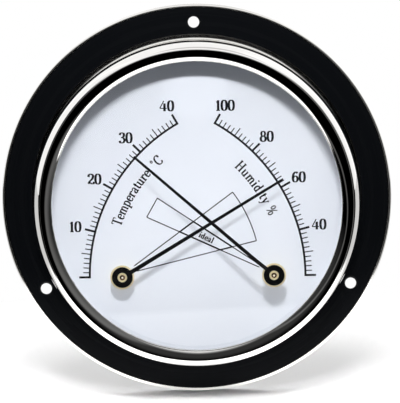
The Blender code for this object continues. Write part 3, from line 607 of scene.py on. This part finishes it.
# strokes as thin solid strips: a flat four-sided section carried along each path,
# after the whole print is turned about the dial's middle and scaled
def addPrint(name, strokes, finish):
    points, faces, count = [], [], 0
    place = turning(inkFacts["turn"]) * inkFacts["size"]
    for path, half, closed in strokes:
        path = path @ place
        way = pathDirection(path, closed)
        side = np.column_stack([-way[:, 1], way[:, 0]]) * np.broadcast_to(half, len(path))[:, None]
        low, high = np.full((len(path), 1), inkFacts["back"]), np.full((len(path), 1), inkFacts["front"])
        section = [np.hstack([path + side, low]), np.hstack([path + side, high]),
                   np.hstack([path - side, high]), np.hstack([path - side, low])]
        points.append(np.stack(section, 1).reshape(-1, 3))
        sides = gridFaces(len(path), 4, True, True) if closed else np.array(tubeFaces(len(path), 4))
        faces += (sides + count).tolist()
        count += 4 * len(path)
    return dress(addPiece(name, np.vstack(points), faces), finishes[finish], "case", "dial")


# points at a radius and an angle from a centre, counted from the right upwards
def polar(centre, radius, degrees):
    angle = np.radians(degrees)
    return np.stack([centre[0] + radius * np.cos(angle), centre[1] + radius * np.sin(angle)], -1)


# an angle as it is, or mirrored to the left
def sided(degrees, flip):
    return 180 - degrees if flip else degrees


# one arc with its ticks: every tenth division is bold, every fifth longer; flip mirrors it to the left
def scaleStrokes(flip):
    f = scaleFacts
    centre = np.array(f["centre"]) * (1 if flip else -1, 1)
    edge = math.degrees(f["bold"] / 2 / f["tickStart"])
    arc = polar(centre, f["radius"], sided(np.linspace(-edge, f["sweep"] + edge, f["arcSteps"]), flip))
    bold, fine = [(arc, f["line"] / 2, 0)], []
    for number in range(f["divisions"] + 1):
        angle = sided(f["sweep"] * number / f["divisions"], flip)
        end = f["major"] if number % 10 == 0 else f["middle"] if number % 5 == 0 else f["minor"]
        tick = polar(centre, np.array([f["tickStart"], end]), angle)
        (fine if number % 10 else bold).append((tick, (f["fine"] if number % 10 else f["bold"]) / 2, 0))
    labels = f["temperature"] if flip else f["humidity"]
    for number, label in enumerate(labels, start=1):
        middle = polar(centre, f["numeralRadius"], sided(f["sweep"] * number / len(labels), flip))
        bold += uprightText(label, middle, f["numeralHeight"])
    return bold, fine


# where two straight lines from the hubs cross
def crossing(degreesFromLeft, degreesFromRight):
    a, b = math.radians(degreesFromLeft), math.radians(180 - degreesFromRight)
    start, stop = hubs["humidity"], hubs["temperature"]
    way = np.array([[math.cos(a), -math.cos(b)], [math.sin(a), -math.sin(b)]])
    reach = np.linalg.solve(way, stop - start)[0]
    return start + reach * np.array([math.cos(a), math.sin(a)])


# two outlined sectors from the hubs; the four-sided field where they cross is drawn bolder
def zoneStrokes():
    z = zoneFacts
    fine = []
    for kind, flip in (("humidity", False), ("temperature", True)):
        for degrees in z[kind]:
            ends = [polar(hubs[kind], radius, sided(degrees, flip)) for radius in (z["start"], z["radius"])]
            fine.append((np.vstack(ends), z["fine"] / 2, 0))
        steps = 2 if flip else z["arcSteps"]  # the temperature sector ends in a straight line
        end = polar(hubs[kind], z["radius"], sided(np.linspace(*z[kind], steps), flip))
        fine.append((end, z["fine"] / 2, 0))
    h, t = z["humidity"], z["temperature"]
    field = np.array([crossing(h[1], t[1]), crossing(h[1], t[0]), crossing(h[0], t[0]), crossing(h[0], t[1])])
    bold = [(np.vstack([a, b]), z["bold"] / 2, 0) for a, b in zip(field, np.roll(field, -1, 0))]
    strokes, width = penStrokes(z["word"], z["wordHeight"], z["wordSpacing"])
    for path, half, closed, _, left in strokes:
        path = (path + (left - width / 2, -z["wordDrop"])) @ turning(z["wordSlope"]) + field.mean(0)
        bold.append((path, half, closed))
    return bold, fine


# the print in five pieces: both scales, their ticks, the zones, their lines and the words
def buildPrint():
    temperatureBold, temperatureFine = scaleStrokes(True)
    humidityBold, humidityFine = scaleStrokes(False)
    addPrint("scalePrint", temperatureBold + humidityBold, "ink")
    addPrint("tickPrint", temperatureFine + humidityFine, "fineInk")
    bold, fine = zoneStrokes()
    addPrint("zonePrint", bold, "ink")
    addPrint("zoneLinePrint", fine, "fineInk")
    right, up = scaleFacts["centre"]
    words = []
    for word, (side, radius, startDegrees, spacing) in wordFacts["words"].items():
        words += roundText(word, (right * side, up), radius, startDegrees, spacing)
    addPrint("wordPrint", words, "ink")


buildPrint()
print("dial printed")


pointerFacts = {
    "humidity": {"bossBack": 12.9, "degrees": 30.57, "side": [(2.0, 0.0), (52.5, 0.0)], "width": (1.18, 0.68)},
    "temperature": {"bossBack": 14.3, "degrees": 138.6625,
                    "side": [(2.0, 0.0), (2.9, 0.0), (6.1, 1.5), (51.2, -0.5)], "width": (1.08, 0.68)},
}
bladeFacts = {"steps": 60, "crank": (2.4, 7.0, 30), "soft": 5, "round": 0.09, "roundSteps": 5}
discFacts = {"radius": 2.9, "sheet": 0.3, "bore": 1.33, "backRound": 0.03, "edgeRound": 0.1, "boreRound": 0.05,
             "steps": 72}
bossFacts = {"radius": 3.35, "flange": 0.4, "tube": 1.3, "bore": 0.78, "proud": 0.3, "gap": 0.1,
             "tubeRound": 0.12, "boreRound": 0.08, "frontRound": 0.14, "backRound": 0.1, "tight": 0.03,
             "steps": 96}
arborFacts = {"radius": 0.75, "proud": 0.2, "dot": 0.28, "coneBack": 0.1, "shoulder": 3.25, "pivot": 0.45,
              "coneRound": 0.06, "shoulderRound": 0.05, "pivotRound": 0.1, "tight": 0.03, "steps": 48}


# the blade: a rounded four-sided section carried along its side view, narrowing to the tip
def addBlade(name, side, width, back, degrees, centre):
    f, sheet = bladeFacts, discFacts["sheet"]
    knots = np.array(side)
    along = np.unique(np.concatenate([np.linspace(knots[0, 0], knots[-1, 0], f["steps"]), knots[:, 0],
                                      np.linspace(*f["crank"])]))
    height = np.interp(along, knots[:, 0], knots[:, 1])
    soft = np.ones(f["soft"]) / f["soft"] if len(knots) > 2 else np.ones(1)
    height = np.convolve(np.pad(height, len(soft) // 2, mode="edge"), soft, mode="valid")
    half = np.interp(along, [knots[0, 0], knots[-1, 0]], np.array(width) / 2)
    corners = [(-1, 0, 0), (1, 0, 0), (1, sheet, f["round"]), (-1, sheet, f["round"])]
    section = roundedProfile(corners, f["roundSteps"])
    inset = np.abs(section[:, 0]) - 1
    across = np.sign(section[:, 0]) * (half[:, None] + inset)
    out = back + height[:, None] + section[None, :, 1]
    angle = math.radians(degrees)
    way, left = np.array([math.cos(angle), math.sin(angle)]), np.array([-math.sin(angle), math.cos(angle)])
    flat = np.asarray(centre) + along[:, None, None] * way + across[:, :, None] * left
    points = np.concatenate([flat, out[:, :, None]], 2).reshape(-1, 3)
    return addPiece(name, points, tubeFaces(len(along), len(section)))


# disc with a rounded front edge, joined to its blade
def buildPointer(kind):
    f, d, hub = pointerFacts[kind], discFacts, hubs[kind]
    back = f["bossBack"] + bossFacts["flange"] + bossFacts["gap"]
    front = back + d["sheet"]
    corners = [(d["bore"], back, 0.0), (d["radius"], back, d["backRound"]),
               (d["radius"], front, d["edgeRound"]), (d["bore"], front, d["boreRound"])]
    pointer = addTurned(kind + "Pointer", roundedProfile(corners), d["steps"], hub)
    carve(pointer, [addBlade(kind + "Blade", f["side"], f["width"], back, f["degrees"], hub)], "UNION")
    return dress(pointer, finishes["pointer"], kind + "_hand", "pointer", kind + "_pointer")


# turned brass boss, a flange under the pointer's disc and a tube through it, and the arbor with its end painted
# pale as a highlight
def buildBoss(kind):
    b, r, hub = bossFacts, arborFacts, hubs[kind]
    back = pointerFacts[kind]["bossBack"]
    front = back + b["flange"]
    tubeFront = front + b["gap"] + discFacts["sheet"] + b["proud"]
    corners = [(b["tube"], tubeFront, b["tubeRound"]), (b["tube"], front, b["tight"]),
               (b["radius"], front, b["frontRound"]), (b["radius"], back, b["backRound"]),
               (b["bore"], back, b["tight"]), (b["bore"], tubeFront, b["boreRound"])]
    boss = addTurned(kind + "Boss", roundedProfile(corners), b["steps"], hub)
    dress(boss, finishes[kind + "Brass"], kind + "_hand", "brass", kind + "_boss")
    arborFront, pivotBack = tubeFront + r["proud"], -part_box(kind + "_arbor")[1][1] / milli
    shaft = [(0, arborFront, 0), (r["dot"], arborFront, r["tight"]),
             (r["radius"], tubeFront - r["coneBack"], r["coneRound"]),
             (r["radius"], r["shoulder"], r["shoulderRound"]), (r["pivot"], r["shoulder"], r["tight"]),
             (r["pivot"], pivotBack, r["pivotRound"]), (0, pivotBack, 0)]
    arbor = addTurned(kind + "Arbor", roundedProfile(shaft), r["steps"], hub)
    dress(arbor, finishes["arbor"], kind + "_hand", "arbor_steel", kind + "_arbor")
    # the arbor's flat end takes the pale finish, a painted highlight
    arbor.data.materials.append(finishes["arborEnd"])
    middles = faceMiddles(arbor)
    onPaintedGlint = (np.hypot(*(middles[:, :2] - hub).T) < r["dot"]) & (middles[:, 2] > tubeFront)
    arbor.data.polygons.foreach_set("material_index", onPaintedGlint.astype(np.int32))
    return boss, arbor


movingParts = []
for kind in hubs:
    movingParts.append(buildPointer(kind))
    movingParts += buildBoss(kind)
print("pointers, bosses and arbors built")


coverFacts = {"radius": 44.1, "sheet": 0.9, "edge": 0.15, "gap": 0.1, "vent": 1.2, "ventCircle": 6.2,
              "ventCount": 6, "ventEdge": 0.12, "drillSteps": 32}


# the tool for a screw's slot: a straight bar across its head, turned
def addSlotTool(place, turn):
    c = coverScrewFacts
    across, along = np.meshgrid((-0.5, 0.5), (-c["slotReach"], c["slotReach"]), indexing="ij")
    flat = np.column_stack([across.ravel() * c["slotWidth"], along.ravel() * c["head"]])
    flat = np.array(place) + flat @ np.array([onCircle(1.0, turn), onCircle(1.0, turn + 90)])
    points = np.vstack([np.column_stack([flat, np.full(4, out)])
                        for out in (c["sink"] - overshoot, c["sink"] + c["slotDepth"])])
    return addPiece("slot", points, [(0, 1, 3, 2), (4, 6, 7, 5), (0, 4, 5, 1), (2, 3, 7, 6), (0, 2, 6, 4),
                                     (1, 5, 7, 3)])


# rear cover: a flat disc with softened edges, vents behind both coils and countersunk seats for its screws
def buildCover():
    f, c = coverFacts, coverScrewFacts
    sheet, beyond = f["sheet"], f["sheet"] + overshoot
    disc = ringCorners(0, f["radius"], 0, sheet, f["edge"], f["edge"])
    cover = addTurned("rearCover", roundedProfile(disc), stackSize["steps"])
    vent = [(0, beyond), (f["vent"], beyond), (f["vent"], f["ventEdge"]),
            (f["vent"] + 2 * f["ventEdge"], -f["ventEdge"]), (0, -f["ventEdge"])]
    vents = [hub + onCircle(f["ventCircle"], 360.0 * number / f["ventCount"])
             for hub in hubs.values() for number in range(f["ventCount"])]
    narrow, wide = c["shank"] + f["gap"], c["head"] + f["gap"]
    seat = [(0, beyond), (narrow, beyond), (narrow, sheet), (wide, 0), (wide, -overshoot), (0, -overshoot)]
    places = screwPlaces(c)
    carve(cover, drillTools("vent", vent, vents, f["drillSteps"])
          + drillTools("seat", seat, places, f["drillSteps"]))
    dress(cover, finishes["cover"], "case", "cover", "rear_cover")
    shank = roundedProfile([(0, c["length"], 0), (c["shank"], c["length"], c["tipRound"]),
                            (c["shank"], sheet, c["neckRound"]), (c["head"], c["sink"], c["headRound"]),
                            (0, c["sink"], 0)])
    for number, (place, turn) in enumerate(zip(places, c["slotTurns"]), start=1):
        fastener = addTurned(f"coverScrew{number}", shank, c["steps"], place)
        carve(fastener, [addSlotTool(place, turn)])
        dress(fastener, finishes["screw"], "case", "screw_steel", f"cover_screw_{number}")


coilFacts = {"first": 1.95, "last": 9.3, "turns": 5.5, "perTurn": 64, "strip": 0.3, "edge": 0.1, "edgeSteps": 4,
             "humidity": ("moisture", "moisture_strip"), "temperature": ("bimetal", "bimetal")}


# sensing coil: a flat strip with rounded edges on an even spiral, radius growing with the angle,
# that ends at the stud
def buildCoil(kind):
    f, hub = coilFacts, hubs[kind]
    low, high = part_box(kind + "_coil")
    share = np.linspace(0, 1, round(f["turns"] * f["perTurn"]))
    angle = math.pi / 2 - 2 * math.pi * f["turns"] * (1 - share)[:, None]
    half, back, front = f["strip"] / 2, -high[1] / milli, -low[1] / milli
    section = roundedProfile(ringCorners(-half, half, back, front, f["edge"], f["edge"]), f["edgeSteps"])
    reach = (f["first"] + (f["last"] - f["first"]) * share)[:, None] + section[None, :, 0]
    points = np.stack([hub[0] + reach * np.cos(angle), hub[1] + reach * np.sin(angle),
                       section[None, :, 1] + 0 * reach], -1).reshape(-1, 3)
    finish, slotName = f[kind]
    coil = addPiece(kind + "Coil", points, tubeFaces(len(share), len(section)))
    return dress(coil, finishes[finish], kind + "_hand", slotName, kind + "_coil")


buildCover()
for kind in hubs:
    buildCoil(kind)
print("cover, screws and coils built")

nodeFinishes = {"dial_seat_ring": "seat"}
for kind in hubs:
    nodeFinishes[kind + "_bracket"] = "zinc"
    for piece in ("bush", "bush_nut", "rear_bearing", "coil_stud", "coil_hub"):
        nodeFinishes[f"{kind}_{piece}"] = kind + "Brass"
for name, finish in nodeFinishes.items():
    nodes[name].data.materials.clear()
    nodes[name].data.materials.append(finishes[finish])
print("solids dressed:", len(nodeFinishes))


# sums of values and sockets in a node tree, so that a mask reads as a formula; rest is what a mask leaves
def maskMaker(tree):
    def ramp(source, low, high):
        return addNode(tree, "MapRange", {"Value": source, "From Min": low, "From Max": high},
                       interpolation_type="SMOOTHSTEP").outputs[0]

    def combine(operation, first, second=0.0):
        return addNode(tree, "Math", {0: first, 1: second}, operation=operation).outputs[0]

    def rest(mask):
        return combine("SUBTRACT", 1.0, mask)

    return ramp, combine, rest


# where a grey strip of the room starts, peaks and stops at each side, as a share of the direction, and its tone
sideFacts = {"right": (0.20, 0.36, 0.92, 0.12), "left": (0.36, 0.45, 0.54, 0.11)}


def sideGreys(tree, across):
    ramp, combine, rest = maskMaker(tree)
    greys = 0.0
    for sign, (start, peak, stop, tone) in ((1.0, sideFacts["right"]), (-1.0, sideFacts["left"])):
        along = combine("MULTIPLY", across, sign)
        strip = combine("MULTIPLY", ramp(along, start, peak), rest(ramp(along, peak, stop)))
        greys = combine("ADD", combine("MULTIPLY", strip, tone), greys)
    return greys


# height and size in millimetres, angles in degrees, and the edges and reaches of tones in metres
floorFacts = {"height": -55.4, "size": 3000.0, "lines": 13, "white": 0.72, "bounce": 0.22, "near": (0.11, 0.20),
              "whiteTo": 0.117, "slant": 0.13, "fade": 0.008, "tableLight": 1.9, "tableHalf": 0.095,
              "tableBack": (-0.055, -0.035), "beside": (0.075, 0.13), "behind": (0.0, 0.05), "awayDim": 0.64,
              # a painted contact shadow under the instrument, in what metal and glass see of the floor
              "paintedContactShadow": 0.55, "paintedShadowReach": (0.0556, 0.0590),
              "sunAngle": 47.0, "sunAside": 0.04, "sunSoft": 28.0, "sunShare": 0.34}


# how bright metal and glass see the floor: a white table that ends in front and at its sides, dimmer beside
# and behind, with a painted contact shadow under the instrument, and the grey strips of the room beyond
def tableTone(tree, place, away):
    f = floorFacts
    ramp, combine, rest = maskMaker(tree)
    split = addNode(tree, "SeparateXYZ", {0: place})
    right, depth = split.outputs["X"], split.outputs["Y"]
    sideways = combine("ABSOLUTE", right)
    edge = combine("ADD", depth, combine("MULTIPLY", right, f["slant"]))
    white = ramp(edge, -f["whiteTo"] - f["fade"], -f["whiteTo"] + f["fade"])
    aside = ramp(sideways, f["tableHalf"] - f["fade"], f["tableHalf"] + f["fade"])
    aside = combine("MULTIPLY", aside, rest(ramp(depth, *f["tableBack"])))
    dim = combine("MAXIMUM", ramp(depth, *f["behind"]), ramp(sideways, *f["beside"]))
    dim = combine("MULTIPLY", dim, f["awayDim"])
    # painted shadow: the mirrored floor darkens close round the instrument's foot
    paintedContactShadow = combine("MULTIPLY", rest(ramp(away, *f["paintedShadowReach"])), f["paintedContactShadow"])
    for shade in (aside, dim, paintedContactShadow):
        white = combine("MULTIPLY", white, rest(shade))
    greys = sideGreys(tree, combine("DIVIDE", right, away))
    return combine("ADD", combine("MULTIPLY", white, f["tableLight"]), combine("MULTIPLY", greys, rest(white)))


# floor: lit near the instrument and plain white further away, duller for bounced light, a table for mirrors
def makeFloorWhite():
    f = floorFacts
    material, tree = newMaterial("floorWhite")
    tree.nodes.remove(tree.nodes["Principled BSDF"])
    ramp, combine, _ = maskMaker(tree)
    place, path = addNode(tree, "TexCoord").outputs["Object"], addNode(tree, "LightPath").outputs
    away = addNode(tree, "VectorMath", {0: place}, operation="LENGTH").outputs["Value"]
    lit, bounce = (addNode(tree, "BsdfDiffuse", {"Color": (tone, tone, tone, 1)}).outputs[0]
                   for tone in (f["white"], f["bounce"]))
    far = addNode(tree, "Emission").outputs[0]
    mirrored = addNode(tree, "Emission", {"Strength": tableTone(tree, place, away)}).outputs[0]
    seen = addNode(tree, "MixShader", {0: ramp(away, *f["near"]), 1: lit, 2: far}).outputs[0]
    seen = addNode(tree, "MixShader", {0: path["Is Camera Ray"], 1: bounce, 2: seen}).outputs[0]
    mirror = combine("MULTIPLY", path["Is Glossy Ray"], combine("LESS_THAN", path["Diffuse Depth"], 0.5))
    seen = addNode(tree, "MixShader", {0: mirror, 1: seen, 2: mirrored}).outputs[0]
    feed(tree, tree.nodes["Material Output"], {"Surface": seen})
    return material


# a level grid, and a sun that lights it alone
def buildFloor():
    f = floorFacts
    step = np.linspace(-f["size"], f["size"], f["lines"])
    right, depth = np.meshgrid(step, step, indexing="ij")
    points = np.stack([right, np.full_like(right, f["height"]), depth], -1).reshape(-1, 3)
    floor = addPiece("floor", points, gridFaces(f["lines"], f["lines"], False, False))
    floor.data.materials.append(makeFloorWhite())
    onFloor = bpy.data.collections.new("floorOnly")
    onFloor.objects.link(floor)
    sun = bpy.data.lights.new("floorSun", "SUN")
    rise = math.radians(f["sunAngle"])
    sun.angle, sun.energy = math.radians(f["sunSoft"]), f["sunShare"] * math.pi / f["white"] / math.sin(rise)
    sunObject = bpy.data.objects.new("floorSun", sun)
    sunObject.rotation_mode = "QUATERNION"
    way = Vector((f["sunAside"], math.cos(rise), -math.sin(rise)))
    sunObject.rotation_quaternion = way.to_track_quat("-Z", "Y")
    sunObject.light_linking.receiver_collection = onFloor
    bpy.context.scene.collection.objects.link(sunObject)


buildFloor()

# soft box seen only in metal and glass: a slanted sheet above the viewer whose light fades out at its lower
# edge, further up at its sides; places in millimetres
boxFacts = {"edgeOut": 208.0, "edgeUp": 103.0, "lean": 27.5, "height": (-45.0, 330.0), "halfWidth": 420.0,
            "lines": 25, "fade": (-45.0, 60.0), "sideFade": 0.5, "sideSoft": 260.0}


def buildSoftBox():
    f = boxFacts
    across, along = np.meshgrid(np.linspace(-f["halfWidth"], f["halfWidth"], f["lines"]),
                                np.linspace(*f["height"], f["lines"]), indexing="ij")
    lean = math.radians(f["lean"])
    points = np.stack([across, f["edgeUp"] + along * math.cos(lean), f["edgeOut"] - along * math.sin(lean)], -1)
    box = addPiece("softBox", points.reshape(-1, 3), gridFaces(f["lines"], f["lines"], False, False))
    start, stop = f["fade"]
    share = np.clip((along - f["sideFade"] * np.abs(across) - start) / (stop - start), 0, 1)
    share = (share * np.clip((f["halfWidth"] - np.abs(across)) / f["sideSoft"], 0, 1)).ravel()
    light = box.data.attributes.new("light", "FLOAT", "POINT")
    light.data.foreach_set("value", (share * share * (3 - 2 * share)).astype(np.float32))
    material, tree = newMaterial("softBoxLight")
    tree.nodes.remove(tree.nodes["Principled BSDF"])
    level = addNode(tree, "Attribute", attribute_name="light").outputs["Fac"]
    shine, clear = addNode(tree, "Emission", {"Strength": level}), addNode(tree, "BsdfTransparent")
    mix = addNode(tree, "MixShader", {0: level, 1: clear.outputs[0], 2: shine.outputs[0]})
    feed(tree, tree.nodes["Material Output"], {"Surface": mix.outputs[0]})
    box.data.materials.append(material)
    for rays in ("camera", "diffuse", "shadow", "volume_scatter"):
        setattr(box, "visible_" + rays, False)


buildSoftBox()

# angle above the dial's normal, the point aimed at and distances in millimetres, spread in degrees,
# power in watts
lampFacts = {
    "keyLamp": {"angle": 26.0, "aim": (0.0, 34.0, 11.0), "distance": 450.0, "size": (150.0, 24.0),
                "spread": 21.5, "power": 0.048},
    "topLamp": {"angle": 58.0, "aim": (0.0, -46.0, 11.0), "distance": 300.0, "size": (120.0, 36.0),
                "spread": 15.0, "power": 0.0182},
    "rearLamp": {"angle": 145.0, "aim": (0.0, 0.0, 0.0), "distance": 900.0, "size": (700.0, 500.0),
                 "spread": 180.0, "power": 8.0},
}


# a soft rectangular lamp over the middle; where shades are given, only those pieces throw its shadow
def addLamp(name, shades=()):
    f = lampFacts[name]
    lamp = bpy.data.lights.new(name, "AREA")
    lamp.shape = "RECTANGLE"
    lamp.size, lamp.size_y = (side * milli for side in f["size"])
    lamp.energy, lamp.spread = f["power"], math.radians(f["spread"])
    lampObject = bpy.data.objects.new(name, lamp)
    angle = math.radians(f["angle"])
    away = Vector((0, -math.cos(angle), math.sin(angle)))
    right, up, out = f["aim"]
    lampObject.location = (Vector((right, -out, up)) + away * f["distance"]) * milli
    lampObject.rotation_mode = "QUATERNION"
    lampObject.rotation_quaternion = (-away).to_track_quat("-Z", "Y")
    for rays in ("camera", "glossy", "transmission"):
        setattr(lampObject, "visible_" + rays, False)
    bpy.context.scene.collection.objects.link(lampObject)
    if shades:
        blockers = bpy.data.collections.new(name + "Shades")
        for shade in shades:
            blockers.objects.link(shade)
        lampObject.light_linking.blocker_collection = blockers


addLamp("keyLamp", [caseBody, blackRing, bezelRing])
addLamp("topLamp", movingParts)
addLamp("rearLamp")

# edges of tones as shares of the direction seen
worldFacts = {"fill": 0.42, "dark": 0.004, "low": 0.03, "lowEdge": (-0.05, 0.3), "behind": (-0.30, -0.16),
              "above": (0.80, 0.90), "ceiling": 0.35, "ceilingEdge": (0.90, 0.966), "ceilingSlant": 0.12}


# white to the camera; metal and glass see a dark room in front with a grey strip at each side, a greyer ceiling
# and white from the sides backwards
def buildWorld():
    world = bpy.data.worlds.new("studio")
    bpy.context.scene.world = world
    world.use_nodes = True
    w, tree = worldFacts, world.node_tree
    ramp, combine, rest = maskMaker(tree)
    path = addNode(tree, "LightPath").outputs
    split = addNode(tree, "SeparateXYZ", {0: addNode(tree, "TexCoord").outputs["Generated"]})
    right, depth, up = split.outputs
    white = combine("MAXIMUM", ramp(depth, *w["behind"]), ramp(up, *w["above"]))
    roof = combine("ADD", up, combine("MULTIPLY", right, w["ceilingSlant"]))
    roof = combine("MULTIPLY", ramp(roof, *w["ceilingEdge"]), w["ceiling"])
    haze = combine("MULTIPLY", ramp(up, *w["lowEdge"]), w["low"])
    haze = combine("ADD", haze, sideGreys(tree, right))
    mirrored = combine("ADD", combine("MULTIPLY", white, rest(roof)), combine("ADD", haze, w["dark"]))
    straight = combine("LESS_THAN", path["Diffuse Depth"], 0.5)
    mirror = combine("MAXIMUM", path["Is Glossy Ray"], path["Is Transmission Ray"])
    mirror = combine("MULTIPLY", straight, mirror)
    level = addNode(tree, "Mix", {"Factor": mirror, "A": w["fill"], "B": mirrored}).outputs["Result"]
    shown = addNode(tree, "Mix", {"Factor": path["Is Camera Ray"], "A": level, "B": 1.0}).outputs["Result"]
    feed(tree, tree.nodes["Background"], {"Color": (1, 1, 1, 1), "Strength": shown})


buildWorld()

# distance to the flange's middle in millimetres, angles in degrees, and where that middle lies in the image
# in pixels
cameraFacts = {"distance": 750.0, "elevation": 6.35, "roll": 1.06, "field": 8.743, "imageWidth": 400,
               "imageHeight": 403, "middle": (196.85, 198.74), "flangeFront": 2.4, "clip": (0.01, 20.0)}


def buildCamera():
    c = cameraFacts
    data = bpy.data.cameras.new("camera")
    data.lens = data.sensor_width / 2 / math.tan(math.radians(c["field"]) / 2)
    camera = bpy.data.objects.new("camera", data)
    bpy.context.scene.collection.objects.link(camera)
    elevation = math.radians(c["elevation"])
    back = Vector((0, -math.cos(elevation), math.sin(elevation)))
    turn = (-back).to_track_quat("-Z", "Y") @ Quaternion((0, 0, 1), math.radians(-c["roll"]))
    pixel = 2 * c["distance"] * math.tan(math.radians(c["field"]) / 2) / c["imageHeight"]
    right = (c["imageWidth"] / 2 - c["middle"][0]) * pixel
    up = (c["middle"][1] - c["imageHeight"] / 2) * pixel
    aim = Vector((0, -c["flangeFront"], 0)) + turn @ Vector((right, up, 0))
    camera.location = (aim + back * c["distance"]) * milli
    camera.rotation_mode = "QUATERNION"
    camera.rotation_quaternion = turn
    data.clip_start, data.clip_end = c["clip"]
    bpy.context.scene.camera = camera


buildCamera()
bpy.context.scene.view_settings.view_transform = "Standard"
print("stage, lamps and camera set")
